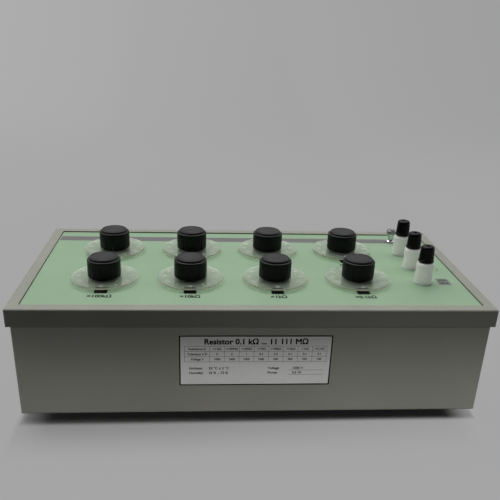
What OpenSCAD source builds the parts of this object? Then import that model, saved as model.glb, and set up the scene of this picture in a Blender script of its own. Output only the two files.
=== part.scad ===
// Decade standard resistor: a bench box of folded steel with eight turning decade dials,
// three insulated binding posts and an earth terminal on a recessed panel.
// Millimetres, +Z up, X along the width, -Y is the front.
// The origin lies on the table, under the middle of the case.

/* [Case] */
// Width over the skirt of the top frame
case_w = 540; // [520:1:600]
// Depth over the skirt of the top frame
case_d = 274; // [262:1:320]
// Height from the underside of the tub to the top of the frame
case_h = 134; // [115:1:180]
// Thickness of the folded steel sheet
sheet = 1.5; // [1:0.1:1.8]
// Outer bend radius of the folded sheet
bend_r = 2.4; // [2:0.1:4]
// Height of the skirt of the top frame
skirt_h = 21; // [18:0.5:30]
// Height of the hem that is folded back inside the skirt
hem_h = 10; // [9:0.5:13]
// Gap between the hem and the tub
skirt_gap = 1; // [0.5:0.1:2]
// Width of the flange that frames the panel
flange_w = 13; // [12.5:0.5:20]
// Thread diameter of the screws in the sides of the skirt
frame_screw_d = 4; // [3:0.5:5]
// Distance of those screws from the middle of the side
frame_screw_y = 80; // [50:1:110]

/* [Feet] */
// Height of the rubber feet
foot_h = 8; // [6:0.5:15]
// Diameter of a foot where it meets the tub
foot_d = 22; // [18:1:30]
// Distance of a foot's centre from the walls of the tub
foot_inset = 32; // [20:1:50]
// Diameter of the stem that is pushed through the tub
foot_stem_d = 8; // [6:0.5:10]

/* [Panel] */
// Thickness of the panel
panel_t = 2; // [1.5:0.1:5]
// Gap between the edge of the panel and the walls of the tub
panel_gap = 1.5; // [0.5:0.1:2]
// Diameter of the studs under the flange that hold the panel
panel_stud_d = 3; // [2.5:0.5:3]
// Number of those studs along the front, and along the back
panel_stud_count = 4; // [3:1:6]

/* [Data plate] */
// Width of the plate on the front wall
plate_w = 172; // [120:1:220]
// Height of the plate on the front wall
plate_h = 64; // [40:1:72]
// Thickness of the plate on the front wall
plate_t = 0.5; // [0.3:0.1:1]
// Distance of the plate below the top of the frame
plate_drop = 32.7; // [31:0.1:36]

/* [Dials] */
// Distance between the two rows of dials
dial_pitch = 101; // [92:1:108]
// Distance of the first column of dials from the left side of the case
dial_side = 94.7; // [88:0.1:100]
// Distance of the last column of dials from the terminals
dial_post_gap = 81.3; // [78:0.1:90]
// Diameter of the clear dial disc
disc_d = 78; // [60:1:84]
// Thickness of the clear dial disc
disc_t = 2; // [1.5:0.1:3]
// Clearance of the disc above the bush
disc_clear = 1; // [0.6:0.1:3]
// Diameter of the knob
knob_d = 38.5; // [30:0.5:46]
// Height of the knob without its cap
knob_h = 22; // [18:0.5:30]
// Diameter of the cap in the top of the knob
knob_cap_d = 33; // [22:0.5:34]
// Height of the cap above the knob
knob_cap_rise = 2.6; // [1.5:0.1:4]
// Number of grip flutes around the knob
knob_flutes = 36; // [24:1:48]

/* [Switches] */
// Diameter of the switch shaft
shaft_d = 6; // [5:0.5:8]
// Outside diameter of the bush that carries the shaft
bush_d = 10; // [9.5:0.5:12]
// Length of the bush below its flange
bush_l = 8; // [5:0.5:12]
// Thickness of the nut that holds the bush
bush_nut_t = 2.2; // [1.5:0.1:3]
// Thickness of the mounting plate under the panel
switch_plate_t = 2; // [1.5:0.1:4]
// Length of the pillars between mounting plate and contact deck
pillar_l = 36; // [34:0.5:60]
// Diameter of the pillars
pillar_d = 6; // [5:0.5:8]
// Thickness of the contact deck
deck_t = 4; // [3:0.5:6]
// Radius of the ring of contacts
contact_r = 26; // [24:0.5:28]
// Diameter of a contact's head
contact_head_d = 6; // [5:0.5:7]
// Diameter of a contact's shank
contact_shank_d = 3; // [2:0.5:4]
// Length of a contact below the deck
contact_tail = 10; // [8.5:0.5:16]
// Diameter of the star wheel of the detent
star_d = 22; // [18:0.5:26]
// Diameter of a resistor's body
resistor_d = 5; // [3:0.5:6]
// Length of a resistor's body
resistor_l = 7.5; // [5:0.5:8]
// Diameter of the connecting wires
wire_d = 1.6; // [1:0.1:2.5]

/* [Terminals] */
// Distance between neighbouring terminals
post_pitch = 50; // [40:1:54]
// Distance of the terminals from the right side of the case
post_side = 61; // [50:1:64]
// Place of the middle binding post, from the middle of the case
post_y = -3; // [-8:1:2]
// Diameter of the white pillar of a binding post
post_d = 20.8; // [20:0.1:28]
// Height of the white pillar of a binding post
post_h = 26; // [18:0.5:40]
// Diameter of the screw stud of a binding post
post_stud_d = 6; // [6:0.5:8]
// Diameter of the plug socket in the end of the stud
socket_d = 4; // [3:0.1:4.2]
// Depth of the plug socket
socket_l = 16; // [10:0.5:24]
// Diameter of the screw cap at its foot
cap_d = 18.6; // [17:0.1:22]
// Diameter of the screw cap at its top
cap_top_d = 16.2; // [13:0.1:17]
// Height of the screw cap
cap_h = 20; // [16:0.5:26]
// Diameter of the collar under a screw cap
collar_d = 16; // [12:0.5:18]
// Distance of the earth terminal from the back of the case
earth_back = 40; // [30:1:60]
// Diameter of the earth terminal's flared foot
earth_d = 13.2; // [12:0.1:18]
// Height of the earth terminal up to its washer
earth_h = 11; // [9:0.5:20]
// Diameter of the earth terminal's thumb nut
earth_nut_d = 12.2; // [11:0.1:16]
// Height of the earth terminal's thumb nut
earth_nut_h = 5.5; // [4:0.5:8]
// Diameter of the earth terminal's stud
earth_stud_d = 5; // [4:0.5:6]

/* [Fits] */
// Radial clearance of a piece that is fixed in its hole
fit = 0.1; // [0.05:0.01:0.2]
// Radial clearance of a shaft or screw that turns
run = 0.05; // [0.02:0.01:0.1]
// Gap between pieces that pass each other
pass = 0.3; // [0.2:0.05:0.5]

/* [Hidden] */
$fn = 64;
// How far a cutting body passes the face that it cuts
cut = 1;
dial_columns = 4;
dial_rows = 2;
dial_count = dial_columns * dial_rows;
post_count = 3;

// Heights of the case and the panel
rim_z = foot_h + case_h;
panel_top = rim_z - sheet;
panel_bot = panel_top - panel_t;

// Plan of the case, from the skirt inwards
tub_w = case_w - 2 * (2 * sheet + skirt_gap);
tub_d = case_d - 2 * (2 * sheet + skirt_gap);
window_w = case_w - 2 * flange_w;
window_d = case_d - 2 * flange_w;
window_r = 1;
panel_w = tub_w - 2 * (sheet + panel_gap);
panel_d = tub_d - 2 * (sheet + panel_gap);
inner_bend_r = max(bend_r - sheet, 0.2);
hem_r = 1;
weld = 0.3;

// Studs and nuts that hold the panel under the flange
panel_stud_y = (window_d + panel_d) / 4;
panel_stud_inset = 40;
panel_stud_step = (window_w - 2 * panel_stud_inset) / (panel_stud_count - 1);
panel_nut_wall = 1.25;
panel_nut_af = panel_stud_d + 2 * panel_nut_wall;
panel_nut_t = 2.4;
panel_stud_show = 1.6;
panel_stud_l = panel_t + panel_nut_t + panel_stud_show;

// Screws in the sides of the skirt
frame_screw_z = rim_z - skirt_h + hem_h / 2;
frame_head_d = 2 * frame_screw_d;
frame_head_top_d = 0.8 * frame_head_d;
frame_head_t = 0.6 * frame_screw_d;
frame_slot_w = 1;
frame_screw_show = 5;
frame_screw_l = 3 * sheet + skirt_gap + frame_screw_show;

// Feet
foot_x = tub_w / 2 - foot_inset;
foot_y = tub_d / 2 - foot_inset;
foot_taper = 2;
foot_edge = 1;
foot_barb = 0.7;
foot_barb_h = 4;

// Data plate
plate_r = 1;
plate_z = rim_z - plate_drop - plate_h;

// Columns of dials, spread between the left side and the terminals
dial_step = (case_w - dial_side - dial_post_gap - post_side) / (dial_columns - 1);

// Knob, disc and shaft, measured up from the panel
bush_show = 0.3;
bush_top = panel_top + bush_nut_t + bush_show;
disc_z = bush_top + disc_clear;
disc_edge = 0.4;
knob_z = disc_z + disc_t;
knob_foot = 1.5;
knob_edge = 2;
knob_spigot_wall = 5;
knob_spigot_d = bush_d + 2 * knob_spigot_wall;
knob_cap_seat = 3;
knob_cap_edge = 1.8;
knob_rim_w = 3;
knob_inlay_d = knob_cap_d - 2 * knob_rim_w;
knob_groove_w = 0.7;
knob_groove = 0.4;
knob_web = 2;
flute_d = 2.2;
flute_cut = 0.45;
flute_stop = 1;
flute_top = knob_h - knob_edge - flute_stop;
shaft_top = knob_z + knob_h - knob_cap_seat - knob_web;
shaft_end_gap = 0.5;

// Switch below the panel, measured down from it
plate_bot = panel_bot - switch_plate_t;
bush_flange_w = 3;
bush_flange_d = bush_d + 2 * bush_flange_w;
bush_flange_t = 2;
bush_bot = plate_bot - bush_flange_t - bush_l;
bush_nut_wall = 2;
bush_nut_af = bush_d + 2 * bush_nut_wall;
star_t = 4;
star_top = bush_bot - pass;
star_bot = star_top - star_t;
star_points = 12;
star_notch_d = 4.4;
deck_top = plate_bot - pillar_l;
deck_bot = deck_top - deck_t;

// Contacts, wiper and collector
detent_angle = 360 / star_points;
contact_count = 11;
first_angle = -90;
contact_head_t = 1.5;
contact_end = deck_bot - contact_tail;
wiper_pad_d = 4;
wiper_pad_h = 2;
wiper_arm_t = 1.6;
wiper_arm_w = 5;
wiper_hub_wall = 4;
wiper_hub_d = shaft_d + 2 * wiper_hub_wall;
wiper_hub_h = 7;
wiper_z = deck_top + contact_head_t + pass;
collector_t = 1;
collector_w = 5;
collector_wall = 2.5;
collector_d = shaft_d + 2 * collector_wall;
shaft_show = 2;
shaft_bot = deck_bot - collector_t - shaft_show;

// Pillars stand outside the sweep of the wiper
sweep_r = contact_r + max(wiper_pad_d, wiper_arm_w, contact_head_d) / 2;
pillar_clear = 1.5;
pillar_r = sweep_r + pillar_clear + pillar_d / 2;
pillar_count = 3;
pillar_first = 30;
rivet_step = 1.25;
rivet_d = pillar_d - 2 * rivet_step;
rivet_head_w = 1;
rivet_head_d = rivet_d + 2 * rivet_head_w;
rivet_head_t = 0.8;
deck_edge = 2;
deck_d = 2 * (pillar_r + pillar_d / 2 + deck_edge);

// Detent spring
nose_d = 4;
nose_y = star_d / 2 + pass + nose_d / 2;
spring_t = 0.8;
spring_l = 16;
spring_tip = 4;
spring_post_d = 5;

// Resistors between neighbouring contacts
chord_l = 2 * contact_r * sin(detent_angle / 2);
chord_r = contact_r * cos(detent_angle / 2);
lead_d = 0.8;
resistor_end = 0.8;
resistor_z = deck_bot - collector_t - resistor_d / 2;
lead_span = chord_l - contact_shank_d - 2 * fit;

// Wires lie under the ends of the contacts
wire_z = contact_end - wire_d / 2 - fit;
wire_over = 2;
wire_swing = 14;
wire_side = contact_r + wire_swing;

// Binding posts
post_x = case_w / 2 - post_side;
post_taper = 0.1;
post_edge = 1.2;
post_foot_w = 0.5;
post_foot_d = post_d + 2 * post_foot_w;
post_foot_t = 1.2;
post_spigot_wall = 3;
post_spigot_d = post_stud_d + 2 * post_spigot_wall;
post_shoulder_w = 2;
post_shoulder_d = post_stud_d + 2 * post_shoulder_w;
post_shoulder_t = 1.5;
post_washer_w = 3;
post_washer_d = post_spigot_d + 2 * post_washer_w;
post_washer_t = 2;
post_nut_wall = 2;
post_nut_af = post_stud_d + 2 * post_nut_wall;
post_nut_t = 5;
post_stud_show = 6;
post_stud_end = panel_bot - post_washer_t - post_nut_t - post_stud_show;
collar_t = 1;
collar_z = panel_top + post_h;
cap_z = collar_z + collar_t + run;
cap_wall = 1.5;
cap_band_h = 3;
cap_edge = 2.6;
cap_step = 0.5;
cap_flutes = 14;
cap_flute_d = 2;
cap_flute_cut = 0.4;
cap_hole_clear = 0.4;
cap_hole_d = socket_d + 2 * cap_hole_clear;
cap_play = 0.5;
stud_top = cap_z + cap_h - cap_wall - cap_play;

// Earth terminal
earth_y = case_d / 2 - earth_back;
earth_neck_wall = 1;
earth_neck_d = earth_stud_d + 2 * earth_neck_wall;
earth_lip = 1.2;
earth_washer_step = 0.6;
earth_washer_d = earth_nut_d - 2 * earth_washer_step;
earth_washer_t = 1;
earth_washer_z = panel_top + earth_h;
earth_nut_z = earth_washer_z + earth_washer_t + run;
earth_nut_edge = 0.6;
earth_stud_show = 0.5;
earth_top = earth_nut_z + earth_nut_h + earth_stud_show;
earth_fix_wall = 1.5;
earth_fix_af = earth_stud_d + 2 * earth_fix_wall;
earth_fix_t = 4;
earth_fix_show = 4;
earth_end = panel_bot - earth_fix_t - earth_fix_show;
knurl_count = 24;
knurl_d = 1.2;
knurl_cut = 0.35;

// Places

function dial_x(i) = dial_side - case_w / 2 + ((i - 1) % dial_columns) * dial_step;
function dial_y(i) = (floor((i - 1) / dial_columns) - (dial_rows - 1) / 2) * dial_pitch;
function terminal_y(i) = post_y + ((post_count + 1) / 2 - i) * post_pitch;
function contact_angle(n) = first_angle - n * detent_angle;
function ring_point(r, a) = [r * cos(a), r * sin(a)];
function contact_point(i, n) = [dial_x(i), dial_y(i)] + ring_point(contact_r, contact_angle(n));
function raised(p, z) = [p[0], p[1], z];

module at_dial(i) {
    translate([dial_x(i), dial_y(i), 0]) children();
}

module at_dials() {
    for (i = [1 : dial_count]) at_dial(i) children();
}

module at_post(i) {
    translate([post_x, terminal_y(i), 0]) children();
}

module at_posts() {
    for (i = [1 : post_count]) at_post(i) children();
}

module at_earth() {
    translate([post_x, earth_y, 0]) children();
}

module at_pillars() {
    for (k = [0 : pillar_count - 1])
        rotate([0, 0, pillar_first + k * 360 / pillar_count])
            translate([pillar_r, 0, 0]) children();
}

module at_panel_studs() {
    for (side = [-1, 1], k = [0 : panel_stud_count - 1])
        translate([(k - (panel_stud_count - 1) / 2) * panel_stud_step, side * panel_stud_y, 0])
            children();
}

module at_feet() {
    for (sx = [-1, 1], sy = [-1, 1]) translate([sx * foot_x, sy * foot_y, 0]) children();
}

// Turns a piece whose screw points down to -X, with its head's seat on the skirt
module at_frame_screws() {
    for (side = [0, 180], y = [-1, 1])
        rotate([0, 0, side])
            translate([case_w / 2, y * frame_screw_y, frame_screw_z])
                rotate([0, 90, 0]) children();
}

// Shapes that repeat

module rounded_rect(w, d, r) {
    square([w - 2 * r, d], center = true);
    square([w, d - 2 * r], center = true);
    for (sx = [-1, 1], sy = [-1, 1]) translate([sx * (w / 2 - r), sy * (d / 2 - r)]) circle(r);
}

// Side view of a folded box: top_r and foot_r round its upper and lower corners
module folded_profile(w, h, top_r, foot_r) {
    translate([-w / 2, foot_r]) square([w, h - top_r - foot_r]);
    for (sx = [-1, 1]) {
        if (top_r > 0) translate([sx * (w / 2 - top_r), h - top_r]) circle(top_r);
        if (foot_r > 0) translate([sx * (w / 2 - foot_r), foot_r]) circle(foot_r);
    }
    if (top_r > 0) translate([-w / 2 + top_r, h / 2]) square([w - 2 * top_r, h / 2]);
    if (foot_r > 0) translate([-w / 2 + foot_r, 0]) square([w - 2 * foot_r, h / 2]);
}

// Block with the bends of folded sheet, whose corners are mitred
module folded_block(w, d, h, corner_r, top_r, foot_r) {
    intersection() {
        linear_extrude(h) rounded_rect(w, d, corner_r);
        rotate([90, 0, 0]) linear_extrude(d + 2 * cut, center = true) folded_profile(w, h, top_r, foot_r);
        rotate([90, 0, 90]) linear_extrude(w + 2 * cut, center = true) folded_profile(d, h, top_r, foot_r);
    }
}

module hex_nut(af, t, bore_d) {
    difference() {
        cylinder(d = af / cos(30), h = t, $fn = 6);
        translate([0, 0, -cut]) cylinder(d = bore_d, h = t + 2 * cut);
    }
}

module ring(outer_d, bore_d, t) {
    difference() {
        cylinder(d = outer_d, h = t);
        translate([0, 0, -cut]) cylinder(d = bore_d, h = t + 2 * cut);
    }
}

// Round wire through a list of points
module wire(points) {
    for (k = [0 : len(points) - 2]) {
        run_v = points[k + 1] - points[k];
        flat_l = norm([run_v[0], run_v[1]]);
        translate(points[k])
            rotate([0, atan2(flat_l, run_v[2]), atan2(run_v[1], run_v[0])])
                cylinder(d = wire_d, h = norm(run_v), $fn = 24);
        if (k > 0) translate(points[k]) sphere(d = wire_d, $fn = 24);
    }
}

// Case

module case_tub() {
    tub_h = panel_top - foot_h;
    color("#b5b4a8") difference() {
        translate([0, 0, foot_h]) folded_block(tub_w, tub_d, tub_h, bend_r, 0, bend_r);
        translate([0, 0, foot_h + sheet])
            folded_block(tub_w - 2 * sheet, tub_d - 2 * sheet, tub_h, inner_bend_r, 0, inner_bend_r);
        at_feet() cylinder(d = foot_stem_d + 2 * fit, h = foot_h + 2 * sheet);
        at_frame_screws()
            translate([0, 0, -frame_screw_l]) cylinder(d = frame_screw_d + 2 * fit, h = frame_screw_l);
    }
}

module top_frame() {
    color("#b8b7ab") {
        difference() {
            translate([0, 0, rim_z - skirt_h])
                folded_block(case_w, case_d, skirt_h, bend_r, bend_r, hem_r);
            translate([0, 0, rim_z - skirt_h + hem_h])
                folded_block(
                    case_w - 2 * sheet, case_d - 2 * sheet, skirt_h - hem_h - sheet,
                    inner_bend_r, inner_bend_r, 0
                );
            translate([0, 0, rim_z - skirt_h - cut])
                linear_extrude(hem_h + 2 * cut)
                    rounded_rect(case_w - 4 * sheet, case_d - 4 * sheet, inner_bend_r);
            translate([0, 0, panel_top - cut])
                linear_extrude(sheet + 2 * cut) rounded_rect(window_w, window_d, window_r);
            at_frame_screws()
                translate([0, 0, -frame_screw_l])
                    cylinder(d = frame_screw_d + 2 * fit, h = frame_screw_l + cut);
        }
        translate([0, 0, panel_top - panel_stud_l])
            at_panel_studs() cylinder(d = panel_stud_d, h = panel_stud_l + weld);
    }
}

module panel() {
    color("#9dbd9a") translate([0, 0, panel_bot]) linear_extrude(panel_t) difference() {
        square([panel_w, panel_d], center = true);
        at_dials() circle(d = bush_d + 2 * fit);
        at_posts() circle(d = post_spigot_d + 2 * fit);
        at_earth() circle(d = earth_stud_d + 2 * fit);
        at_panel_studs() circle(d = panel_stud_d + 2 * fit);
    }
}

module data_plate() {
    color("#d8d8d4") translate([0, -tub_d / 2, plate_z])
        rotate([90, 0, 0]) linear_extrude(plate_t)
            translate([0, plate_h / 2]) rounded_rect(plate_w, plate_h, plate_r);
}

// Rubber foot with a barbed stem that snaps through the floor of the tub
module feet() {
    barb_z = foot_h + sheet + fit;
    stem_r = foot_stem_d / 2;
    color("#2b2b2b") at_feet() rotate_extrude() polygon([
        [0, 0],
        [foot_d / 2 - foot_taper - foot_edge, 0],
        [foot_d / 2 - foot_taper, foot_edge],
        [foot_d / 2, foot_h],
        [stem_r, foot_h],
        [stem_r, barb_z],
        [stem_r + foot_barb, barb_z],
        [stem_r - foot_barb, barb_z + foot_barb_h],
        [0, barb_z + foot_barb_h]
    ]);
}

module frame_screws() {
    color("#c9cbcc") at_frame_screws() difference() {
        union() {
            cylinder(d1 = frame_head_d, d2 = frame_head_top_d, h = frame_head_t);
            translate([0, 0, -frame_screw_l]) cylinder(d = frame_screw_d, h = frame_screw_l + weld);
        }
        translate([-frame_head_d, -frame_slot_w / 2, frame_head_t / 2])
            cube([2 * frame_head_d, frame_slot_w, frame_head_t]);
    }
}

module panel_nuts() {
    color("#c9cbcc") translate([0, 0, panel_bot - panel_nut_t])
        at_panel_studs() hex_nut(panel_nut_af, panel_nut_t, panel_stud_d + 2 * fit);
}

// Switches

module switch_plates() {
    color("#b9bcbd") translate([0, 0, plate_bot]) at_dials()
        linear_extrude(switch_plate_t) difference() {
            circle(d = deck_d);
            circle(d = bush_d + 2 * fit);
            at_pillars() circle(d = rivet_d + 2 * fit);
        }
}

// Threaded bush: its flange bears on the mounting plate, its nut lies on the panel
module switch_bushes() {
    bore_r = shaft_d / 2 + run;
    color("#c8a85a") at_dials() rotate_extrude() polygon([
        [bore_r, bush_bot],
        [bush_d / 2, bush_bot],
        [bush_d / 2, plate_bot - bush_flange_t],
        [bush_flange_d / 2, plate_bot - bush_flange_t],
        [bush_flange_d / 2, plate_bot],
        [bush_d / 2, plate_bot],
        [bush_d / 2, bush_top],
        [bore_r, bush_top]
    ]);
}

module switch_nuts() {
    color("#c9cbcc") translate([0, 0, panel_top])
        at_dials() hex_nut(bush_nut_af, bush_nut_t, bush_d + 2 * fit);
}

// Pillar riveted at both ends: into the mounting plate and through the contact deck
module switch_pillars() {
    rivet_r = rivet_d / 2;
    color("#c9cbcc") at_dials() at_pillars() rotate_extrude() polygon([
        [0, panel_bot],
        [rivet_r, panel_bot],
        [rivet_r, plate_bot],
        [pillar_d / 2, plate_bot],
        [pillar_d / 2, deck_top],
        [rivet_r, deck_top],
        [rivet_r, deck_bot],
        [rivet_head_d / 2, deck_bot],
        [rivet_head_d / 2, deck_bot - rivet_head_t],
        [0, deck_bot - rivet_head_t]
    ]);
}

module switch_decks() {
    color("#6b4a2f") translate([0, 0, deck_bot]) at_dials() linear_extrude(deck_t) difference() {
        circle(d = deck_d);
        circle(d = shaft_d + 2 * pass);
        at_pillars() circle(d = rivet_d + 2 * fit);
        for (n = [0 : contact_count])
            translate(ring_point(contact_r, contact_angle(n))) circle(d = contact_shank_d + 2 * fit);
    }
}

// Strip that takes the current from the shaft to the one free place in the ring
module collector() {
    terminal = ring_point(contact_r, contact_angle(contact_count));
    difference() {
        union() {
            translate([0, 0, deck_bot - collector_t]) {
                cylinder(d = collector_d, h = collector_t);
                rotate([0, 0, contact_angle(contact_count)])
                    translate([0, -collector_w / 2, 0]) cube([contact_r, collector_w, collector_t]);
            }
            translate(raised(terminal, contact_end))
                cylinder(d = contact_shank_d, h = deck_top - contact_end);
        }
        translate([0, 0, shaft_bot]) cylinder(d = shaft_d + 2 * run, h = deck_top - shaft_bot);
    }
}

// Eleven contact studs a switch, and its collector
module switch_contacts() {
    color("#c8a85a") at_dials() {
        for (n = [0 : contact_count - 1])
            translate(raised(ring_point(contact_r, contact_angle(n)), contact_end)) {
                cylinder(d = contact_shank_d, h = deck_top - contact_end + weld);
                translate([0, 0, deck_top - contact_end])
                    cylinder(d = contact_head_d, h = contact_head_t);
            }
        collector();
    }
}

// Leaf spring on its post: the nose stands just clear of the points of the star wheel
module detent_springs() {
    leaf_y = nose_y + nose_d / 2 - spring_t;
    color("#9a9c9e") at_dials() {
        translate([0, 0, star_bot]) {
            translate([0, nose_y, 0]) cylinder(d = nose_d, h = star_t);
            translate([-spring_l, leaf_y, 0]) cube([spring_l + spring_tip, spring_t, star_t]);
            translate([-spring_l, leaf_y + spring_t / 2, 0])
                cylinder(d = spring_post_d, h = plate_bot - star_bot);
        }
    }
}

module resistor() {
    body_r = resistor_d / 2;
    rotate_extrude($fn = 32) polygon([
        [0, -lead_span / 2],
        [lead_d / 2, -lead_span / 2],
        [lead_d / 2, -resistor_l / 2],
        [body_r - resistor_end, -resistor_l / 2],
        [body_r, -resistor_l / 2 + resistor_end],
        [body_r, resistor_l / 2 - resistor_end],
        [body_r - resistor_end, resistor_l / 2],
        [lead_d / 2, resistor_l / 2],
        [lead_d / 2, lead_span / 2],
        [0, lead_span / 2]
    ]);
}

// Ten equal resistors a switch, each between two neighbouring contacts
module resistors() {
    color("#3f6f8f") at_dials()
        for (n = [0 : contact_count - 2])
            rotate([0, 0, contact_angle(n + 0.5)])
                translate([chord_r, 0, resistor_z]) rotate([90, 0, 0]) resistor();
}

// Link from the collector of one switch to the first contact of the next in its row
module switch_link(i) {
    start = contact_point(i, contact_count);
    finish = contact_point(i + 1, 0);
    over = wire_over * (finish - start) / norm(finish - start);
    wire([raised(start - over, wire_z), raised(finish + over, wire_z)]);
}

// Lead from the stud of a binding post, down and across to a contact
module post_lead(i, finish, z) {
    start = [post_x, terminal_y(i)];
    over = wire_over * (finish - start) / norm(finish - start);
    wire([raised(start, post_stud_end - fit), raised(start, z), raised(finish + over, z)]);
}

// All eight switches in series, from the first post to the last, with a tap for the middle one
module bus_wires() {
    last_front = dial_columns;
    first_back = dial_columns + 1;
    front_end = contact_point(1, 0);
    back_end = contact_point(first_back, 0);
    color("#c77b4a") {
        for (row = [0 : dial_rows - 1], c = [1 : dial_columns - 1]) switch_link(row * dial_columns + c);
        wire([
            raised(front_end, wire_z),
            raised(front_end - [wire_side, 0], wire_z),
            raised(back_end - [wire_side, 0], wire_z),
            raised(back_end, wire_z)
        ]);
        post_lead(1, contact_point(dial_count, contact_count), wire_z);
        post_lead(2, contact_point(dial_count, 0), wire_z - wire_d - fit);
        post_lead(3, contact_point(last_front, contact_count), wire_z);
    }
}

// Binding posts

// White pillar with a spigot through the panel, and the washer that clamps it from below
module post_insulators() {
    bore_r = post_stud_d / 2 + fit;
    top_r = post_d / 2 - post_taper;
    post_top = panel_top + post_h;
    color("#e9e9e2") at_posts() {
        rotate_extrude() polygon([
            [bore_r, panel_bot + fit],
            [post_spigot_d / 2, panel_bot + fit],
            [post_spigot_d / 2, panel_top],
            [post_foot_d / 2, panel_top],
            [post_foot_d / 2, panel_top + post_foot_t],
            [post_d / 2, panel_top + post_foot_t],
            [top_r, post_top - post_edge],
            [top_r - post_edge, post_top],
            [post_shoulder_d / 2 + fit, post_top],
            [post_shoulder_d / 2 + fit, post_top - post_shoulder_t],
            [bore_r, post_top - post_shoulder_t]
        ]);
        translate([0, 0, panel_bot - post_washer_t])
            ring(post_washer_d, post_stud_d + 2 * fit, post_washer_t);
    }
}

// Stud with a shoulder let into the pillar and a plug socket in its upper end
module post_studs() {
    shoulder_z = panel_top + post_h - post_shoulder_t;
    color("#c8a85a") at_posts() difference() {
        union() {
            translate([0, 0, post_stud_end]) cylinder(d = post_stud_d, h = stud_top - post_stud_end);
            translate([0, 0, shoulder_z]) cylinder(d = post_shoulder_d, h = post_shoulder_t);
        }
        translate([0, 0, stud_top - socket_l]) cylinder(d = socket_d, h = socket_l + cut);
    }
}

module post_nuts() {
    color("#c9cbcc") {
        at_posts() translate([0, 0, panel_bot - post_washer_t - post_nut_t])
            hex_nut(post_nut_af, post_nut_t, post_stud_d + 2 * fit);
        at_earth() translate([0, 0, panel_bot - earth_fix_t])
            hex_nut(earth_fix_af, earth_fix_t, earth_stud_d + 2 * fit);
    }
}

module post_collar(i) {
    color("#c8a85a") at_post(i) translate([0, 0, collar_z])
        ring(collar_d, post_stud_d + 2 * run, collar_t);
}

// Outline of half a screw cap: a band at the foot, a cone and a rounded crown
module cap_profile() {
    foot_r = cap_d / 2;
    top_r = cap_top_d / 2;
    polygon([
        [0, 0],
        [foot_r - cap_step, 0],
        [foot_r, cap_step],
        [foot_r, cap_band_h - cap_step],
        [foot_r - cap_step, cap_band_h],
        [top_r, cap_h - cap_edge],
        [top_r - cap_edge, cap_h - cap_edge],
        [top_r - cap_edge, cap_h],
        [0, cap_h]
    ]);
    translate([top_r - cap_edge, cap_h - cap_edge]) circle(cap_edge);
}

module post_cap(i) {
    foot_r = cap_d / 2 - cap_step;
    top_r = cap_top_d / 2;
    lean = atan((foot_r - top_r) / (cap_h - cap_edge - cap_band_h));
    color("#161616") at_post(i) translate([0, 0, cap_z]) difference() {
        rotate_extrude() cap_profile();
        translate([0, 0, -cut]) cylinder(d = post_stud_d + 2 * run, h = cap_h - cap_wall + cut);
        cylinder(d = cap_hole_d, h = cap_h + cut);
        for (k = [0 : cap_flutes - 1])
            rotate([0, 0, k * 360 / cap_flutes])
                translate([foot_r + cap_flute_d / 2 - cap_flute_cut, 0, cap_band_h + cap_step])
                    rotate([0, -lean, 0])
                        cylinder(d = cap_flute_d, h = cap_h - cap_band_h - 2 * cap_edge, $fn = 24);
    }
}

// Earth terminal

// Turned post: a trumpet foot on the panel, a neck, and a stud through both
module earth_post() {
    foot_r = earth_d / 2;
    neck_r = earth_neck_d / 2;
    flare_r = foot_r - neck_r;
    color("#cfd2d4") at_earth() {
        translate([0, 0, panel_top]) rotate_extrude() difference() {
            union() {
                square([neck_r, earth_h]);
                square([foot_r, earth_lip + flare_r]);
            }
            translate([foot_r, earth_lip + flare_r]) circle(flare_r);
        }
        translate([0, 0, earth_end]) cylinder(d = earth_stud_d, h = earth_top - earth_end);
    }
}

module earth_washer() {
    color("#cfd2d4") at_earth() translate([0, 0, earth_washer_z])
        ring(earth_washer_d, earth_stud_d + 2 * run, earth_washer_t);
}

module earth_nut() {
    nut_r = earth_nut_d / 2;
    edge = earth_nut_edge;
    color("#cfd2d4") at_earth() translate([0, 0, earth_nut_z]) difference() {
        rotate_extrude() polygon([
            [0, 0],
            [nut_r - edge, 0],
            [nut_r, edge],
            [nut_r, earth_nut_h - edge],
            [nut_r - edge, earth_nut_h],
            [0, earth_nut_h]
        ]);
        translate([0, 0, -cut]) cylinder(d = earth_stud_d + 2 * run, h = earth_nut_h + 2 * cut);
        for (k = [0 : knurl_count - 1])
            rotate([0, 0, k * 360 / knurl_count])
                translate([nut_r + knurl_d / 2 - knurl_cut, 0, -cut])
                    cylinder(d = knurl_d, h = earth_nut_h + 2 * cut, $fn = 16);
    }
}

// Dials

// Outline of half a knob: a spigot through the disc, a chamfered foot and a rounded shoulder
module knob_profile() {
    knob_r = knob_d / 2;
    polygon([
        [0, -disc_t],
        [knob_spigot_d / 2, -disc_t],
        [knob_spigot_d / 2, 0],
        [knob_r - knob_foot, 0],
        [knob_r, knob_foot],
        [knob_r, knob_h - knob_edge],
        [knob_r - knob_edge, knob_h - knob_edge],
        [knob_r - knob_edge, knob_h],
        [0, knob_h]
    ]);
    translate([knob_r - knob_edge, knob_h - knob_edge]) circle(knob_edge);
}

// Outline of half a knob's cap: a rounded edge, and a groove around the middle of its top
module knob_cap_profile() {
    cap_r = knob_cap_d / 2;
    flat_r = cap_r - knob_cap_edge;
    cap_bot = knob_h - knob_cap_seat + fit;
    cap_top = knob_h + knob_cap_rise;
    difference() {
        union() {
            translate([0, cap_bot]) square([cap_r, cap_top - knob_cap_edge - cap_bot]);
            translate([0, cap_bot]) square([flat_r, cap_top - cap_bot]);
            translate([flat_r, cap_top - knob_cap_edge]) circle(knob_cap_edge);
        }
        translate([knob_inlay_d / 2, cap_top - knob_groove]) square([knob_groove_w, knob_groove + cut]);
    }
}

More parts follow.
